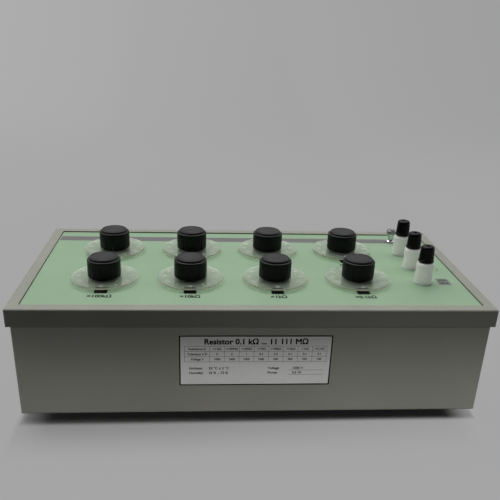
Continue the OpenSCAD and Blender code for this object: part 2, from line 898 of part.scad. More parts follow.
// Fluted grip on the shaft, and the cap that closes it from above
module dial_knob(i) {
    color("#151515") at_dial(i) translate([0, 0, knob_z]) {
        difference() {
            rotate_extrude() knob_profile();
            translate([0, 0, -disc_t - cut])
                cylinder(d = shaft_d + 2 * fit, h = shaft_top - knob_z + disc_t + cut + shaft_end_gap);
            translate([0, 0, knob_h - knob_cap_seat])
                cylinder(d = knob_cap_d + 2 * fit, h = knob_cap_seat + cut);
            for (k = [0 : knob_flutes - 1])
                rotate([0, 0, k * 360 / knob_flutes])
                    translate([knob_d / 2 + flute_d / 2 - flute_cut, 0, -cut])
                        cylinder(d = flute_d, h = flute_top + cut, $fn = 24);
        }
        rotate_extrude() knob_cap_profile();
    }
}

module dial_disc(i) {
    disc_r = disc_d / 2;
    hole_r = knob_spigot_d / 2 + fit;
    color("#dfe6dc", 0.5) at_dial(i) translate([0, 0, disc_z]) rotate_extrude($fn = 96) polygon([
        [hole_r, 0],
        [disc_r - disc_edge, 0],
        [disc_r, disc_edge],
        [disc_r, disc_t - disc_edge],
        [disc_r - disc_edge, disc_t],
        [hole_r, disc_t]
    ]);
}

// Shaft with the star wheel of the detent turned and milled on it
module dial_shaft(i) {
    color("#b9bcbd") at_dial(i) {
        translate([0, 0, shaft_bot]) cylinder(d = shaft_d, h = shaft_top - shaft_bot);
        translate([0, 0, star_bot]) linear_extrude(star_t) difference() {
            circle(d = star_d);
            for (k = [0 : star_points - 1])
                rotate([0, 0, (k + 0.5) * detent_angle])
                    translate([star_d / 2 + star_notch_d / 4, 0]) circle(d = star_notch_d, $fn = 24);
        }
    }
}

// Arm that carries the moving contact over the ring of studs
module dial_wiper(i) {
    arm_z = wiper_z + wiper_pad_h;
    color("#c8a85a") at_dial(i) rotate([0, 0, first_angle]) difference() {
        union() {
            translate([contact_r, 0, wiper_z]) cylinder(d = wiper_pad_d, h = wiper_pad_h + weld);
            translate([0, -wiper_arm_w / 2, arm_z]) cube([contact_r, wiper_arm_w, wiper_arm_t]);
            translate([contact_r, 0, arm_z]) cylinder(d = wiper_arm_w, h = wiper_arm_t);
            translate([0, 0, arm_z]) cylinder(d = wiper_hub_d, h = wiper_hub_h);
        }
        translate([0, 0, wiper_z]) cylinder(d = shaft_d + 2 * fit, h = wiper_pad_h + wiper_hub_h + cut);
    }
}

case_tub();
top_frame();
panel();
data_plate();
feet();
frame_screws();
panel_nuts();
switch_plates();
switch_bushes();
switch_nuts();
switch_pillars();
switch_decks();
switch_contacts();
detent_springs();
resistors();
bus_wires();
post_insulators();
post_studs();
post_nuts();
earth_post();
earth_washer();
earth_nut();
for (i = [1 : post_count]) {
    post_collar(i);
    post_cap(i);
}
for (i = [1 : dial_count]) {
    dial_knob(i);
    dial_disc(i);
    dial_shaft(i);
    dial_wiper(i);
}
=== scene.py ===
"""Looks of a decade standard resistor: enamel, moulded plastic, clear dials, print, lamps and camera.

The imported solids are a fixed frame. This script gives each of them a finish, adds the printed marks as
thin closed meshes that lie on what carries them, and sets the floor, the lamps and the camera.
Metres, +Z up, X along the width, -Y is the front.
"""

import logging
import math
from dataclasses import dataclass
from enum import Enum

import bmesh
import bpy
import numpy as np
from mathutils import Matrix, Vector


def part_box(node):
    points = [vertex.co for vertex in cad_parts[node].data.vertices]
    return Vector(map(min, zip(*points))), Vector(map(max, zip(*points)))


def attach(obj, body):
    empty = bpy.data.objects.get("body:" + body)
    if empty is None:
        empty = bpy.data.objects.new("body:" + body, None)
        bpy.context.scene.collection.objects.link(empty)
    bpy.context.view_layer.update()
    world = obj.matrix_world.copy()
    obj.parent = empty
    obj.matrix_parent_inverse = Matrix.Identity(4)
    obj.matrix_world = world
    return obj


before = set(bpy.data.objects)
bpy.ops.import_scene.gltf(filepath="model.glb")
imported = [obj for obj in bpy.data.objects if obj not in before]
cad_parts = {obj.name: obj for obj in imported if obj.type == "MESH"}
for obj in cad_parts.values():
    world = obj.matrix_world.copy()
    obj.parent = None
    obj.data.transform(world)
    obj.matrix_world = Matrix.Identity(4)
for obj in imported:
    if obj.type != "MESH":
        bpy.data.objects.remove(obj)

LOG = logging.getLogger("standard_resistor")
MM = 0.001
DIAL_COUNT = 8
POST_COUNT = 3

# Height of a digit in the default typeface at size 1, and the distance below which two of its points are one
DIGIT_HEIGHT = 0.73
WELD = 1e-5

# Multiplier of each dial, the front row first, left to right
MULTIPLIERS = ("×100kΩ", "×10kΩ", "×1kΩ", "×0.1kΩ", "×1GΩ", "×100MΩ", "×10MΩ", "×1MΩ")

# The plate's heading, the rows of its table, and the words below it with their place along X and their row
HEADING = "Resistor 0.1 kΩ ... 11 111 MΩ"
TABLE = (
    ("Resistance Ω", *MULTIPLIERS[4:], *MULTIPLIERS[:4]),
    ("Tolerance ± %", "5", "2", "1", "0.5", "0.2", "0.1", "0.1", "0.1"),
    ("Voltage V", "1000", "1000", "1000", "1000", "500", "500", "250", "100"),
)
NOTES = (
    (-75 * MM, 0, "Ambient"), (-53 * MM, 0, "23 °C ± 2 °C"),
    (-75 * MM, 1, "Humidity"), (-53 * MM, 1, "25 % ... 75 %"),
    (14 * MM, 0, "Voltage"), (42 * MM, 0, "1000 V"),
    (14 * MM, 1, "Power"), (42 * MM, 1, "0.5 W"),
)

Array = np.ndarray
Colour = tuple[float, float, float, float]
Pair = tuple[float, float]
Triple = tuple[float, float, float]
Socket = bpy.types.NodeSocket
Sockets = dict[str, Socket]
Input = float | Triple | Colour | Socket
Feed = dict[str | int, Input]


def srgb(red: int, green: int, blue: int) -> Colour:
    """Gives the scene-linear colour of an 8-bit display colour.

    Args:
        red: Display red, 0 to 255.
        green: Display green, 0 to 255.
        blue: Display blue, 0 to 255.

    Returns:
        Linear red, green and blue, and an alpha of 1.
    """
    code = np.array([red, green, blue]) / 255.0
    linear = np.where(code <= 0.04045, code / 12.92, ((code + 0.055) / 1.055) ** 2.4)
    return (float(linear[0]), float(linear[1]), float(linear[2]), 1.0)


BLACK = srgb(0, 0, 0)
WHITE = srgb(255, 255, 255)


class Slot(Enum):
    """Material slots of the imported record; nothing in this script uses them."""

    PANEL = "panel_paint"
    DISC = "disc_clear"


class Align(Enum):
    """Sideways place of a line of lettering against its point."""

    LEFT = "LEFT"
    CENTRE = "CENTER"


# Meshes


@dataclass
class Shell:
    """Points and faces of one or more closed surfaces."""

    points: Array
    faces: list[list[int]]

    def moved(self, plane: "Plane") -> "Shell":
        """Returns the shell set on a plane, its own Z along the plane's normal."""
        return Shell(plane.place(self.points), self.faces)

    def shifted(self, x: float, y: float, z: float = 0.0) -> "Shell":
        """Returns the shell moved by an offset."""
        return Shell(self.points + np.array([x, y, z]), self.faces)

    def turned(self, angle: float) -> "Shell":
        """Returns the shell turned about Z by an angle in radians."""
        c, s = math.cos(angle), math.sin(angle)
        return Shell(self.points @ np.array([[c, s, 0.0], [-s, c, 0.0], [0.0, 0.0, 1.0]]), self.faces)


@dataclass(frozen=True)
class Plane:
    """A flat place on the object: an origin, two directions along it and its outward normal."""

    origin: Triple
    along: Triple
    up: Triple
    normal: Triple

    def place(self, points: Array) -> Array:
        """Returns local points carried to the plane: origin + x along + y up + z normal."""
        basis = np.array([self.along, self.up, self.normal])
        return np.array(self.origin) + points @ basis


def joined(shells: list[Shell]) -> Shell:
    """Puts several shells into one, each still closed by itself.

    Args:
        shells: The shells to join.

    Returns:
        One shell with all their points and faces.
    """
    starts = np.cumsum([0] + [len(s.points) for s in shells[:-1]])
    faces = [[i + int(start) for i in face] for s, start in zip(shells, starts) for face in s.faces]
    return Shell(np.concatenate([s.points for s in shells]), faces)


def loft(rings: Array, closed: bool = False) -> Shell:
    """Skins a stack of rings that all have the same number of points.

    Point k of each ring joins point k of the next. Unless the stack closes on itself, as a frame's
    section does, its first and last ring are flat and get a cap each.

    Args:
        rings: Array of ring, point and coordinate, each ring anticlockwise seen from the last one.
        closed: Whether the last ring joins the first.

    Returns:
        A closed shell.
    """
    count, steps = rings.shape[:2]
    row, col = np.meshgrid(np.arange(count if closed else count - 1), np.arange(steps), indexing="ij")
    above, beside = (row + 1) % count, (col + 1) % steps
    corners = [row * steps + col, row * steps + beside, above * steps + beside, above * steps + col]
    faces = np.stack(corners, axis=-1).reshape(-1, 4).tolist()
    if not closed:
        faces.append(list(range(steps - 1, -1, -1)))
        faces.append(list(range((count - 1) * steps, count * steps)))
    return Shell(rings.reshape(-1, 3), faces)


def rounded_outline(width: float, height: float, radius: float, steps: int = 5) -> Array:
    """Walks round a rectangle with round corners, anticlockwise.

    Each corner is a quarter circle: its centre plus the radius times cosine and sine of the angle.

    Args:
        width: Full width.
        height: Full height.
        radius: Corner radius.
        steps: Points in each quarter circle.

    Returns:
        The outline's points, x and y.
    """
    quarter = np.linspace(0.0, math.pi / 2, steps)
    angles = (np.arange(4)[:, None] * (math.pi / 2) + quarter).ravel()
    sign = np.repeat(np.array([[1, 1], [-1, 1], [-1, -1], [1, -1]]), steps, axis=0)
    centres = sign * np.array([width / 2 - radius, height / 2 - radius])
    return centres + radius * np.stack([np.cos(angles), np.sin(angles)], axis=1)


def stacked(section: list[tuple[Array, float]]) -> Array:
    """Returns the rings of flat outlines of the same number of points, each set at its height."""
    return np.stack([np.pad(outline, ((0, 0), (0, 1)), constant_values=z) for outline, z in section])


def patch(width: float, height: float, radius: float, thick: float) -> Shell:
    """Returns a thin plate of print: a rounded outline, carried from z 0 up to the ink's thickness."""
    outline = rounded_outline(width, height, radius)
    return loft(stacked([(outline, 0.0), (outline, thick)]))


def border(width: float, height: float, radius: float, line: float, thick: float) -> Shell:
    """Makes a thin printed frame: the four corners of its section carried round a rounded outline.

    Args:
        width: Full width.
        height: Full height.
        radius: Outer corner radius.
        line: Width of the line.
        thick: Thickness of the ink.

    Returns:
        A closed shell centred on the origin.
    """
    outer = rounded_outline(width, height, radius)
    inner = rounded_outline(width - 2 * line, height - 2 * line, max(radius - line, 0.1 * radius))
    return loft(stacked([(outer, 0.0), (outer, thick), (inner, thick), (inner, 0.0)]), closed=True)


def lettering(
    text: str,
    height: float,
    thick: float,
    align: Align = Align.CENTRE,
    bold: float = 0.0,
    narrow: float = 1.0,
) -> Shell:
    """Makes generic lettering such as digits and units as a thin closed mesh on z 0.

    Args:
        text: What it says.
        height: Height of a digit.
        thick: Thickness of the ink or filling.
        align: Sideways place against the origin.
        bold: How far the strokes are widened, as a share of the type size.
        narrow: Factor on the width.

    Returns:
        A closed shell, with its line centred on y 0.
    """
    curve = bpy.data.curves.new("lettering", "FONT")
    curve.body = text
    curve.align_x = align.value
    curve.extrude = 0.5 - bold
    curve.bevel_depth = bold
    curve.bevel_resolution = 0
    curve.resolution_u = 3
    holder = bpy.data.objects.new("lettering", curve)
    bpy.context.scene.collection.objects.link(holder)
    bpy.context.view_layer.update()
    mesh = bpy.data.meshes.new_from_object(holder.evaluated_get(bpy.context.evaluated_depsgraph_get()))
    work = bmesh.new()
    work.from_mesh(mesh)
    bmesh.ops.remove_doubles(work, verts=work.verts, dist=WELD)
    bmesh.ops.recalc_face_normals(work, faces=work.faces)
    work.to_mesh(mesh)
    work.free()
    points = np.empty(3 * len(mesh.vertices), dtype=np.float32)
    mesh.vertices.foreach_get("co", points)
    faces = [list(polygon.vertices) for polygon in mesh.polygons]
    bpy.data.objects.remove(holder)
    bpy.data.curves.remove(curve)
    bpy.data.meshes.remove(mesh)
    scale = height / DIGIT_HEIGHT
    size = np.array([narrow * scale, scale, thick])
    return Shell(points.astype(float).reshape(-1, 3) * size + np.array([0.0, -height / 2, thick / 2]), faces)


def piece(name: str, shell: Shell, body: str, finish: "Finish") -> None:
    """Makes an object of a shell, gives it its finish and lets it ride on a body.

    Args:
        name: The piece's name.
        shell: Its shape, in the object's frame.
        body: The body that it moves with.
        finish: Its finish.
    """
    mesh = bpy.data.meshes.new(name)
    mesh.from_pydata(shell.points.tolist(), [], shell.faces)
    mesh.validate()
    mesh.materials.append(finish.material())
    made = bpy.data.objects.new(name, mesh)
    bpy.context.scene.collection.objects.link(made)
    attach(made, body)
    LOG.info("piece %s: %d faces on %s", name, len(shell.faces), body)


def dress(names: list[str], finish: "Finish") -> None:
    """Gives solids of the frame a finish.

    Args:
        names: Nodes of the frame.
        finish: The finish that they all have.
    """
    for name in names:
        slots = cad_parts[name].data.materials
        slots.clear()
        slots.append(finish.material())
    LOG.info("finish %s: %d solids' nodes", finish.name, len(names))


# Shader building


class Graph:
    """Adds nodes to one node tree, and feeds their inputs with values or with other sockets."""

    def __init__(self, tree: bpy.types.NodeTree) -> None:
        """Keeps the tree that the nodes go into."""
        self.tree = tree

    def add(self, kind: str, feed: Feed | None = None, **settings: object) -> bpy.types.Node:
        """Adds a node, sets its properties and feeds its inputs.

        Args:
            kind: The node's type name.
            feed: A value or socket for each input that is fed, by name or number.
            settings: Properties of the node by name.

        Returns:
            The new node.
        """
        node = self.tree.nodes.new(kind)
        for key, value in settings.items():
            setattr(node, key, value)
        for label, value in (feed or {}).items():
            if isinstance(value, bpy.types.NodeSocket):
                self.tree.links.new(value, node.inputs[label])
            else:
                node.inputs[label].default_value = value
        return node

    def math(self, operation: str, *terms: Input) -> Socket:
        """Returns the result of one step on numbers or their sockets."""
        return self.add("ShaderNodeMath", dict(enumerate(terms)), operation=operation).outputs[0]

    def vector(self, operation: str, *terms: Input) -> Socket:
        """Returns the result of one step on vectors or their sockets."""
        return self.add("ShaderNodeVectorMath", dict(enumerate(terms)), operation=operation).outputs[0]

    def plus(self, first: Input, second: Input) -> Socket:
        """Returns the sum of two numbers or sockets."""
        return self.math("ADD", first, second)

    def minus(self, first: Input, second: Input) -> Socket:
        """Returns the first number or socket less the second."""
        return self.math("SUBTRACT", first, second)

    def times(self, first: Input, second: Input) -> Socket:
        """Returns the product of two numbers or sockets."""
        return self.math("MULTIPLY", first, second)

    def scaled(self, value: Input, factor: Input, offset: Input) -> Socket:
        """Returns a value times a factor, plus an offset."""
        return self.math("MULTIPLY_ADD", value, factor, offset)

    def mix(self, share: Input, first: Input, second: Input) -> Socket:
        """Returns a blend of two colours, the first at a share of 0 and the second at 1."""
        # Inputs 6 and 7 and output 2 of this node are its colours
        return self.add("ShaderNodeMix", {0: share, 6: first, 7: second}, data_type="RGBA").outputs[2]

    def mix_shaders(self, share: Socket, first: Socket, second: Socket) -> Socket:
        """Returns a blend of two shaders, the first at a share of 0 and the second at 1."""
        return self.add("ShaderNodeMixShader", {0: share, 1: first, 2: second}).outputs[0]

    def noise(self, place: Socket, scale: Input, detail: float = 2.0, roughness: float = 0.5) -> Socket:
        """Returns smooth noise: features in a metre, octaves, and the strength of the fine octaves."""
        feed = {"Vector": place, "Scale": scale, "Detail": detail, "Roughness": roughness}
        return self.add("ShaderNodeTexNoise", feed).outputs[0]

    def band(
        self, value: Input, low: Input, high: Input, to_low: Input = 0.0, to_high: Input = 1.0
    ) -> Socket:
        """Returns a value mapped smoothly from low and high to their results, and held beyond them."""
        feed = {"Value": value, "From Min": low, "From Max": high, "To Min": to_low, "To Max": to_high}
        return self.add("ShaderNodeMapRange", feed, interpolation_type="SMOOTHSTEP").outputs[0]

    def stretched(self, place: Socket, scale: Triple) -> Socket:
        """Returns a place scaled along each axis."""
        return self.add("ShaderNodeMapping", {"Vector": place, "Scale": scale}).outputs[0]

    def split(self, place: Socket) -> list[Socket]:
        """Returns the X, Y and Z sockets of a place."""
        return list(self.add("ShaderNodeSeparateXYZ", {0: place}).outputs)

    def bump(self, height: Socket, strength: float, distance: float) -> Socket:
        """Returns the normal of a height: how much of it shows, and how high 1 is in metres."""
        feed = {"Strength": strength, "Distance": distance, "Height": height}
        return self.add("ShaderNodeBump", feed).outputs[0]

    def ray(self, kind: str) -> Socket:
        """Returns 1 where a ray of one kind looks at the surface."""
        return self.add("ShaderNodeLightPath").outputs[f"Is {kind} Ray"]


# Surface effects


# Inputs and outputs of the effects that are vectors or colours; the others are numbers
VECTORS = ("Place", "Centre", "Half Size", "Axis")
COLOURS = ("Base", "Cloud", "Bloom", "Stain", "Colour")


class SurfaceEffect:
    """A shader node group that is built once and placed in every material that uses it."""

    name: str = ""
    takes: tuple[str, ...] = ()
    gives: tuple[str, ...] = ()

    def wire(self, graph: Graph, taken: Sockets) -> Sockets:
        """Builds the inside of the group.

        Args:
            graph: The group's graph.
            taken: The group's inputs by name.

        Returns:
            What the group gives, by name.
        """
        raise NotImplementedError

    def group(self) -> bpy.types.NodeTree:
        """Builds the group, the first time that it is asked for.

        Returns:
            The group's node tree.
        """
        found = bpy.data.node_groups.get(self.name)
        if found is not None:
            return found
        tree = bpy.data.node_groups.new(self.name, "ShaderNodeTree")
        for side, labels in (("INPUT", self.takes), ("OUTPUT", self.gives)):
            for label in labels:
                kind = "Vector" if label in VECTORS else "Color" if label in COLOURS else "Float"
                tree.interface.new_socket(label, in_out=side, socket_type=f"NodeSocket{kind}")
        graph = Graph(tree)
        entry = graph.add("NodeGroupInput").outputs
        graph.add("NodeGroupOutput", self.wire(graph, {label: entry[label] for label in self.takes}))
        return tree

    def place(self, graph: Graph, place: Socket, finish: "Finish") -> Sockets:
        """Puts the group into a material.

        Args:
            graph: The material's graph.
            place: Where the group looks, which is its first input.
            finish: The finish, whose field of the same name feeds each of the other inputs.

        Returns:
            The group's outputs by name.
        """
        fields = {label: getattr(finish, label.lower().replace(" ", "_")) for label in self.takes[1:]}
        node = graph.add("ShaderNodeGroup", {"Place": place, **fields}, node_tree=self.group())
        return {label: node.outputs[label] for label in self.gives}


class EnamelSkin(SurfaceEffect):
    """Sprayed enamel: cloudy tone, satin sheen that varies, and fine orange peel."""

    name = "enamel_skin"
    takes = ("Place", "Base", "Cloud", "Cloud Scale", "Peel Scale")
    gives = ("Colour", "Roughness", "Height")
    cloud_range: Pair = (0.3, 0.72)
    least_rough: float = 0.33
    cloud_dulling: float = 0.18
    peel_dulling: float = 0.1

    def wire(self, graph: Graph, taken: Sockets) -> Sockets:
        """Clouds are slow noise between two tones; peel is fast noise that also moves the sheen.

        Args:
            graph: The group\'s graph.
            taken: The group\'s inputs by name.

        Returns:
            What the group gives, by name.
        """
        slow = graph.noise(taken["Place"], taken["Cloud Scale"], detail=5.0, roughness=0.6)
        fast = graph.noise(taken["Place"], taken["Peel Scale"])
        colour = graph.mix(graph.band(slow, *self.cloud_range), taken["Base"], taken["Cloud"])
        dull = graph.plus(graph.times(slow, self.cloud_dulling), graph.times(fast, self.peel_dulling))
        return {"Colour": colour, "Roughness": graph.plus(dull, self.least_rough), "Height": fast}


class BoxEdges(SurfaceEffect):
    """Shows where a surface lies near an edge of a box, broken up as rubbed paint is."""

    name = "box_edges"
    takes = ("Place", "Centre", "Half Size", "Edge Width")
    gives = ("Mask",)
    break_scale: float = 55.0
    break_range: Pair = (0.42, 0.68)

    def wire(self, graph: Graph, taken: Sockets) -> Sockets:
        """The middle one of the three distances to the box's faces is the distance to its nearest edge.

        Args:
            graph: The group\'s graph.
            taken: The group\'s inputs by name.

        Returns:
            What the group gives, by name.
        """
        reach = graph.vector("ABSOLUTE", graph.vector("SUBTRACT", taken["Place"], taken["Centre"]))
        x, y, z = graph.split(graph.vector("SUBTRACT", taken["Half Size"], reach))
        least = graph.math("MINIMUM", x, y)
        most = graph.math("MAXIMUM", x, y)
        between = graph.math("MAXIMUM", least, graph.math("MINIMUM", most, z))
        rubs = graph.noise(taken["Place"], self.break_scale, detail=4.0, roughness=0.7)
        near = graph.band(between, 0.0, taken["Edge Width"], 1.0, 0.0)
        return {"Mask": graph.times(near, graph.band(rubs, *self.break_range))}


class SettledDust(SurfaceEffect):
    """Thin dust on surfaces that face up."""

    name = "settled_dust"
    takes = ("Place", "Dust Scale", "Dust Amount")
    gives = ("Mask",)
    upward_range: Pair = (0.4, 0.95)
    patch_range: Pair = (0.4, 0.75)
    speck_scale: float = 1500.0
    speck_range: Pair = (0.35, 0.8)

    def wire(self, graph: Graph, taken: Sockets) -> Sockets:
        """The upward part of the normal, times patchy noise, times fine specks.

        Args:
            graph: The group\'s graph.
            taken: The group\'s inputs by name.

        Returns:
            What the group gives, by name.
        """
        normal = graph.add("ShaderNodeNewGeometry").outputs["Normal"]
        upward = graph.band(graph.split(normal)[2], *self.upward_range)
        patchy = graph.noise(taken["Place"], taken["Dust Scale"], detail=6.0, roughness=0.65)
        specks = graph.band(graph.noise(taken["Place"], self.speck_scale), *self.speck_range)
        lying = graph.times(upward, graph.times(graph.band(patchy, *self.patch_range), specks))
        return {"Mask": graph.times(lying, taken["Dust Amount"])}


class FineScratches(SurfaceEffect):
    """Hairline scuffs that run along one direction."""

    name = "fine_scratches"
    takes = ("Place", "Scuff Scale", "Scuff Rarity")
    gives = ("Mask",)
    softness: float = 0.12

    def wire(self, graph: Graph, taken: Sockets) -> Sockets:
        """Noise at a place that the material has stretched, cut to its peaks.

        Args:
            graph: The group\'s graph.
            taken: The group\'s inputs by name.

        Returns:
            What the group gives, by name.
        """
        streak = graph.noise(taken["Place"], taken["Scuff Scale"], detail=3.0, roughness=0.6)
        least = taken["Scuff Rarity"]
        return {"Mask": graph.band(streak, least, graph.plus(least, self.softness))}


class MouldGrain(SurfaceEffect):
    """Sparkle and fine texture of moulded plastic or rubber."""

    name = "mould_grain"
    takes = ("Place", "Base", "Bloom", "Grain Scale", "Roughness")
    gives = ("Colour", "Roughness", "Height")
    bloom_scale: float = 60.0
    bloom_range: Pair = (0.38, 0.78)
    bloom_share: float = 0.6
    bloom_dulling: float = 0.14
    grain_dulling: float = 0.08
    polish: float = 0.08

    def wire(self, graph: Graph, taken: Sockets) -> Sockets:
        """Grain is fast noise; bloom is slow noise that greys the colour and dulls the shine.

        Args:
            graph: The group\'s graph.
            taken: The group\'s inputs by name.

        Returns:
            What the group gives, by name.
        """
        grain = graph.noise(taken["Place"], taken["Grain Scale"], detail=3.0)
        slow = graph.noise(taken["Place"], self.bloom_scale, detail=5.0, roughness=0.65)
        bloom = graph.band(slow, *self.bloom_range)
        colour = graph.mix(graph.times(bloom, self.bloom_share), taken["Base"], taken["Bloom"])
        dull = graph.plus(graph.times(bloom, self.bloom_dulling), graph.times(grain, self.grain_dulling))
        rough = graph.plus(taken["Roughness"], graph.minus(dull, self.polish))
        return {"Colour": colour, "Roughness": rough, "Height": grain}


class DialPolar(SurfaceEffect):
    """Distance of a place from the axis of the dial that it belongs to, and its angle about that axis."""

    name = "dial_polar"
    takes = ("Place", "Axis", "Pitch")
    gives = ("Radius", "Angle")

    def wire(self, graph: Graph, taken: Sockets) -> Sockets:
        """The dials stand on a square grid, so X and Y are wrapped by its pitch round the first axis.

        Args:
            graph: The group\'s graph.
            taken: The group\'s inputs by name.

        Returns:
            What the group gives, by name.
        """
        x, y, _ = graph.split(graph.vector("SUBTRACT", taken["Place"], taken["Axis"]))
        half = graph.times(taken["Pitch"], 0.5)
        local = [graph.math("WRAP", v, half, graph.times(half, -1.0)) for v in (x, y)]
        radius = graph.math("SQRT", graph.plus(*[graph.times(v, v) for v in local]))
        return {"Radius": radius, "Angle": graph.math("ARCTAN2", local[1], local[0])}


class MetalGrain(SurfaceEffect):
    """Drawn or turned metal: fine streaks in tone and sheen, with a light stain."""

    name = "metal_grain"
    takes = ("Place", "Base", "Stain", "Grain Scale", "Roughness")
    gives = ("Colour", "Roughness", "Height")
    pull: Triple = (0.3, 0.3, 3.0)
    stain_scale: float = 130.0
    stain_range: Pair = (0.45, 0.8)
    stain_share: float = 0.5
    dulling: float = 0.12

    def wire(self, graph: Graph, taken: Sockets) -> Sockets:
        """Streaks are noise that is stretched along X and Y; the stain is slow noise.

        Args:
            graph: The group\'s graph.
            taken: The group\'s inputs by name.

        Returns:
            What the group gives, by name.
        """
        streak = graph.noise(graph.stretched(taken["Place"], self.pull), taken["Grain Scale"], detail=3.0)
        slow = graph.noise(taken["Place"], self.stain_scale, detail=5.0, roughness=0.65)
        stain = graph.band(slow, *self.stain_range)
        colour = graph.mix(graph.times(stain, self.stain_share), taken["Base"], taken["Stain"])
        dull = graph.times(graph.plus(streak, stain), self.dulling)
        return {"Colour": colour, "Roughness": graph.plus(taken["Roughness"], dull), "Height": streak}


# Finishes


@dataclass(frozen=True)
class Finish:
    """The look of one kind of surface."""

    name: str

    def material(self) -> bpy.types.Material:
        """Builds the material, the first time that it is asked for.

        Returns:
            The material.
        """
        found = bpy.data.materials.get(self.name)
        if found is not None:
            return found
        made = bpy.data.materials.new(self.name)
        made.use_nodes = True
        made.node_tree.nodes.clear()
        graph = Graph(made.node_tree)
        place = graph.add("ShaderNodeTexCoord").outputs["Object"]
        shader = graph.add("ShaderNodeBsdfPrincipled", self.wire(graph, place)).outputs[0]
        graph.add("ShaderNodeOutputMaterial", {"Surface": self.surface(graph, shader, place)})
        return made

    def wire(self, graph: Graph, place: Socket) -> Feed:
        """Works out what the Principled shader takes.

        Args:
            graph: The material's graph.
            place: Object coordinates.

        Returns:
            A value or socket for each of the shader's inputs that the finish sets.
        """
        raise NotImplementedError

    def surface(self, graph: Graph, shader: Socket, place: Socket) -> Socket:
        """Returns what goes to the output: the shader, unless a finish mixes it with another one."""
        return shader


@dataclass(frozen=True)
class CaseEnamel(Finish):
    """Warm light grey stove enamel on folded steel, rubbed along the edges of one box."""

    centre: Triple
    half_size: Triple
    base: Colour = srgb(149, 150, 139)
    cloud: Colour = srgb(142, 143, 132)
    cloud_scale: float = 7.0
    peel_scale: float = 900.0
    peel_strength: float = 0.18
    peel_height: float = 0.06 * MM
    rubbed: Colour = srgb(180, 181, 173)
    edge_width: float = 1.6 * MM
    edge_share: float = 0.55
    dust: Colour = srgb(168, 165, 156)
    dust_scale: float = 22.0
    dust_amount: float = 0.35

    def wire(self, graph: Graph, place: Socket) -> Feed:
        """Enamel, then rubbed edges, then dust.

        Args:
            graph: The material\'s graph.
            place: Object coordinates.

        Returns:
            What the Principled shader takes.
        """
        skin = EnamelSkin().place(graph, place, self)
        edges = BoxEdges().place(graph, place, self)["Mask"]
        dust = SettledDust().place(graph, place, self)["Mask"]
        worn = graph.mix(graph.times(edges, self.edge_share), skin["Colour"], self.rubbed)
        return {
            "Base Color": graph.mix(dust, worn, self.dust),
            "Roughness": skin["Roughness"],
            "Normal": graph.bump(skin["Height"], self.peel_strength, self.peel_height),
        }


@dataclass(frozen=True)
class PanelEnamel(Finish):
    """Pale green enamel, with a painted shade line along the gap where the panel meets the frame."""

    half_width: float
    half_depth: float
    base: Colour = srgb(144, 174, 142)
    cloud: Colour = srgb(138, 168, 137)
    cloud_scale: float = 9.0
    peel_scale: float = 1100.0
    peel_strength: float = 0.12
    peel_height: float = 0.05 * MM
    # Painted shade: dark green where the panel meets the frame's window, standing in for the gap's shadow
    seam: Colour = srgb(40, 58, 42)
    seam_width: float = 0.9 * MM
    dust: Colour = srgb(172, 184, 166)
    dust_scale: float = 30.0
    dust_amount: float = 0.22

    def wire(self, graph: Graph, place: Socket) -> Feed:
        """Enamel, then dust, then the painted gap shade by the distance to the window's edge.

        Args:
            graph: The material\'s graph.
            place: Object coordinates.

        Returns:
            What the Principled shader takes.
        """
        skin = EnamelSkin().place(graph, place, self)
        dust = SettledDust().place(graph, place, self)["Mask"]
        x, y, _ = graph.split(place)
        side = graph.minus(self.half_width, graph.math("ABSOLUTE", x))
        end = graph.minus(self.half_depth, graph.math("ABSOLUTE", y))
        inward = graph.math("MINIMUM", side, end)
        # Painted shade: full within half the line's width of the window's edge, fading out at the full width
        seam = graph.band(inward, 0.5 * self.seam_width, self.seam_width, 1.0, 0.0)
        return {
            "Base Color": graph.mix(seam, graph.mix(dust, skin["Colour"], self.dust), self.seam),
            "Roughness": skin["Roughness"],
            "Normal": graph.bump(skin["Height"], self.peel_strength, self.peel_height),
        }


@dataclass(frozen=True)
class PrintInk(Finish):
    """Screen-printed ink or engraving filler, slightly uneven."""

    base: Colour
    bloom: Colour
    roughness: float = 0.45
    grain_scale: float = 1400.0
    shine: float = 0.5
    cover: float = 1.0

    def wire(self, graph: Graph, place: Socket) -> Feed:
        """Ink that is thinner in places.

        Args:
            graph: The material\'s graph.
            place: Object coordinates.

        Returns:
            What the Principled shader takes.
        """
        grain = MouldGrain().place(graph, place, self)
        return {
            "Base Color": grain["Colour"],
            "Roughness": grain["Roughness"],
            "Specular IOR Level": self.shine,
            "Alpha": self.cover,
        }


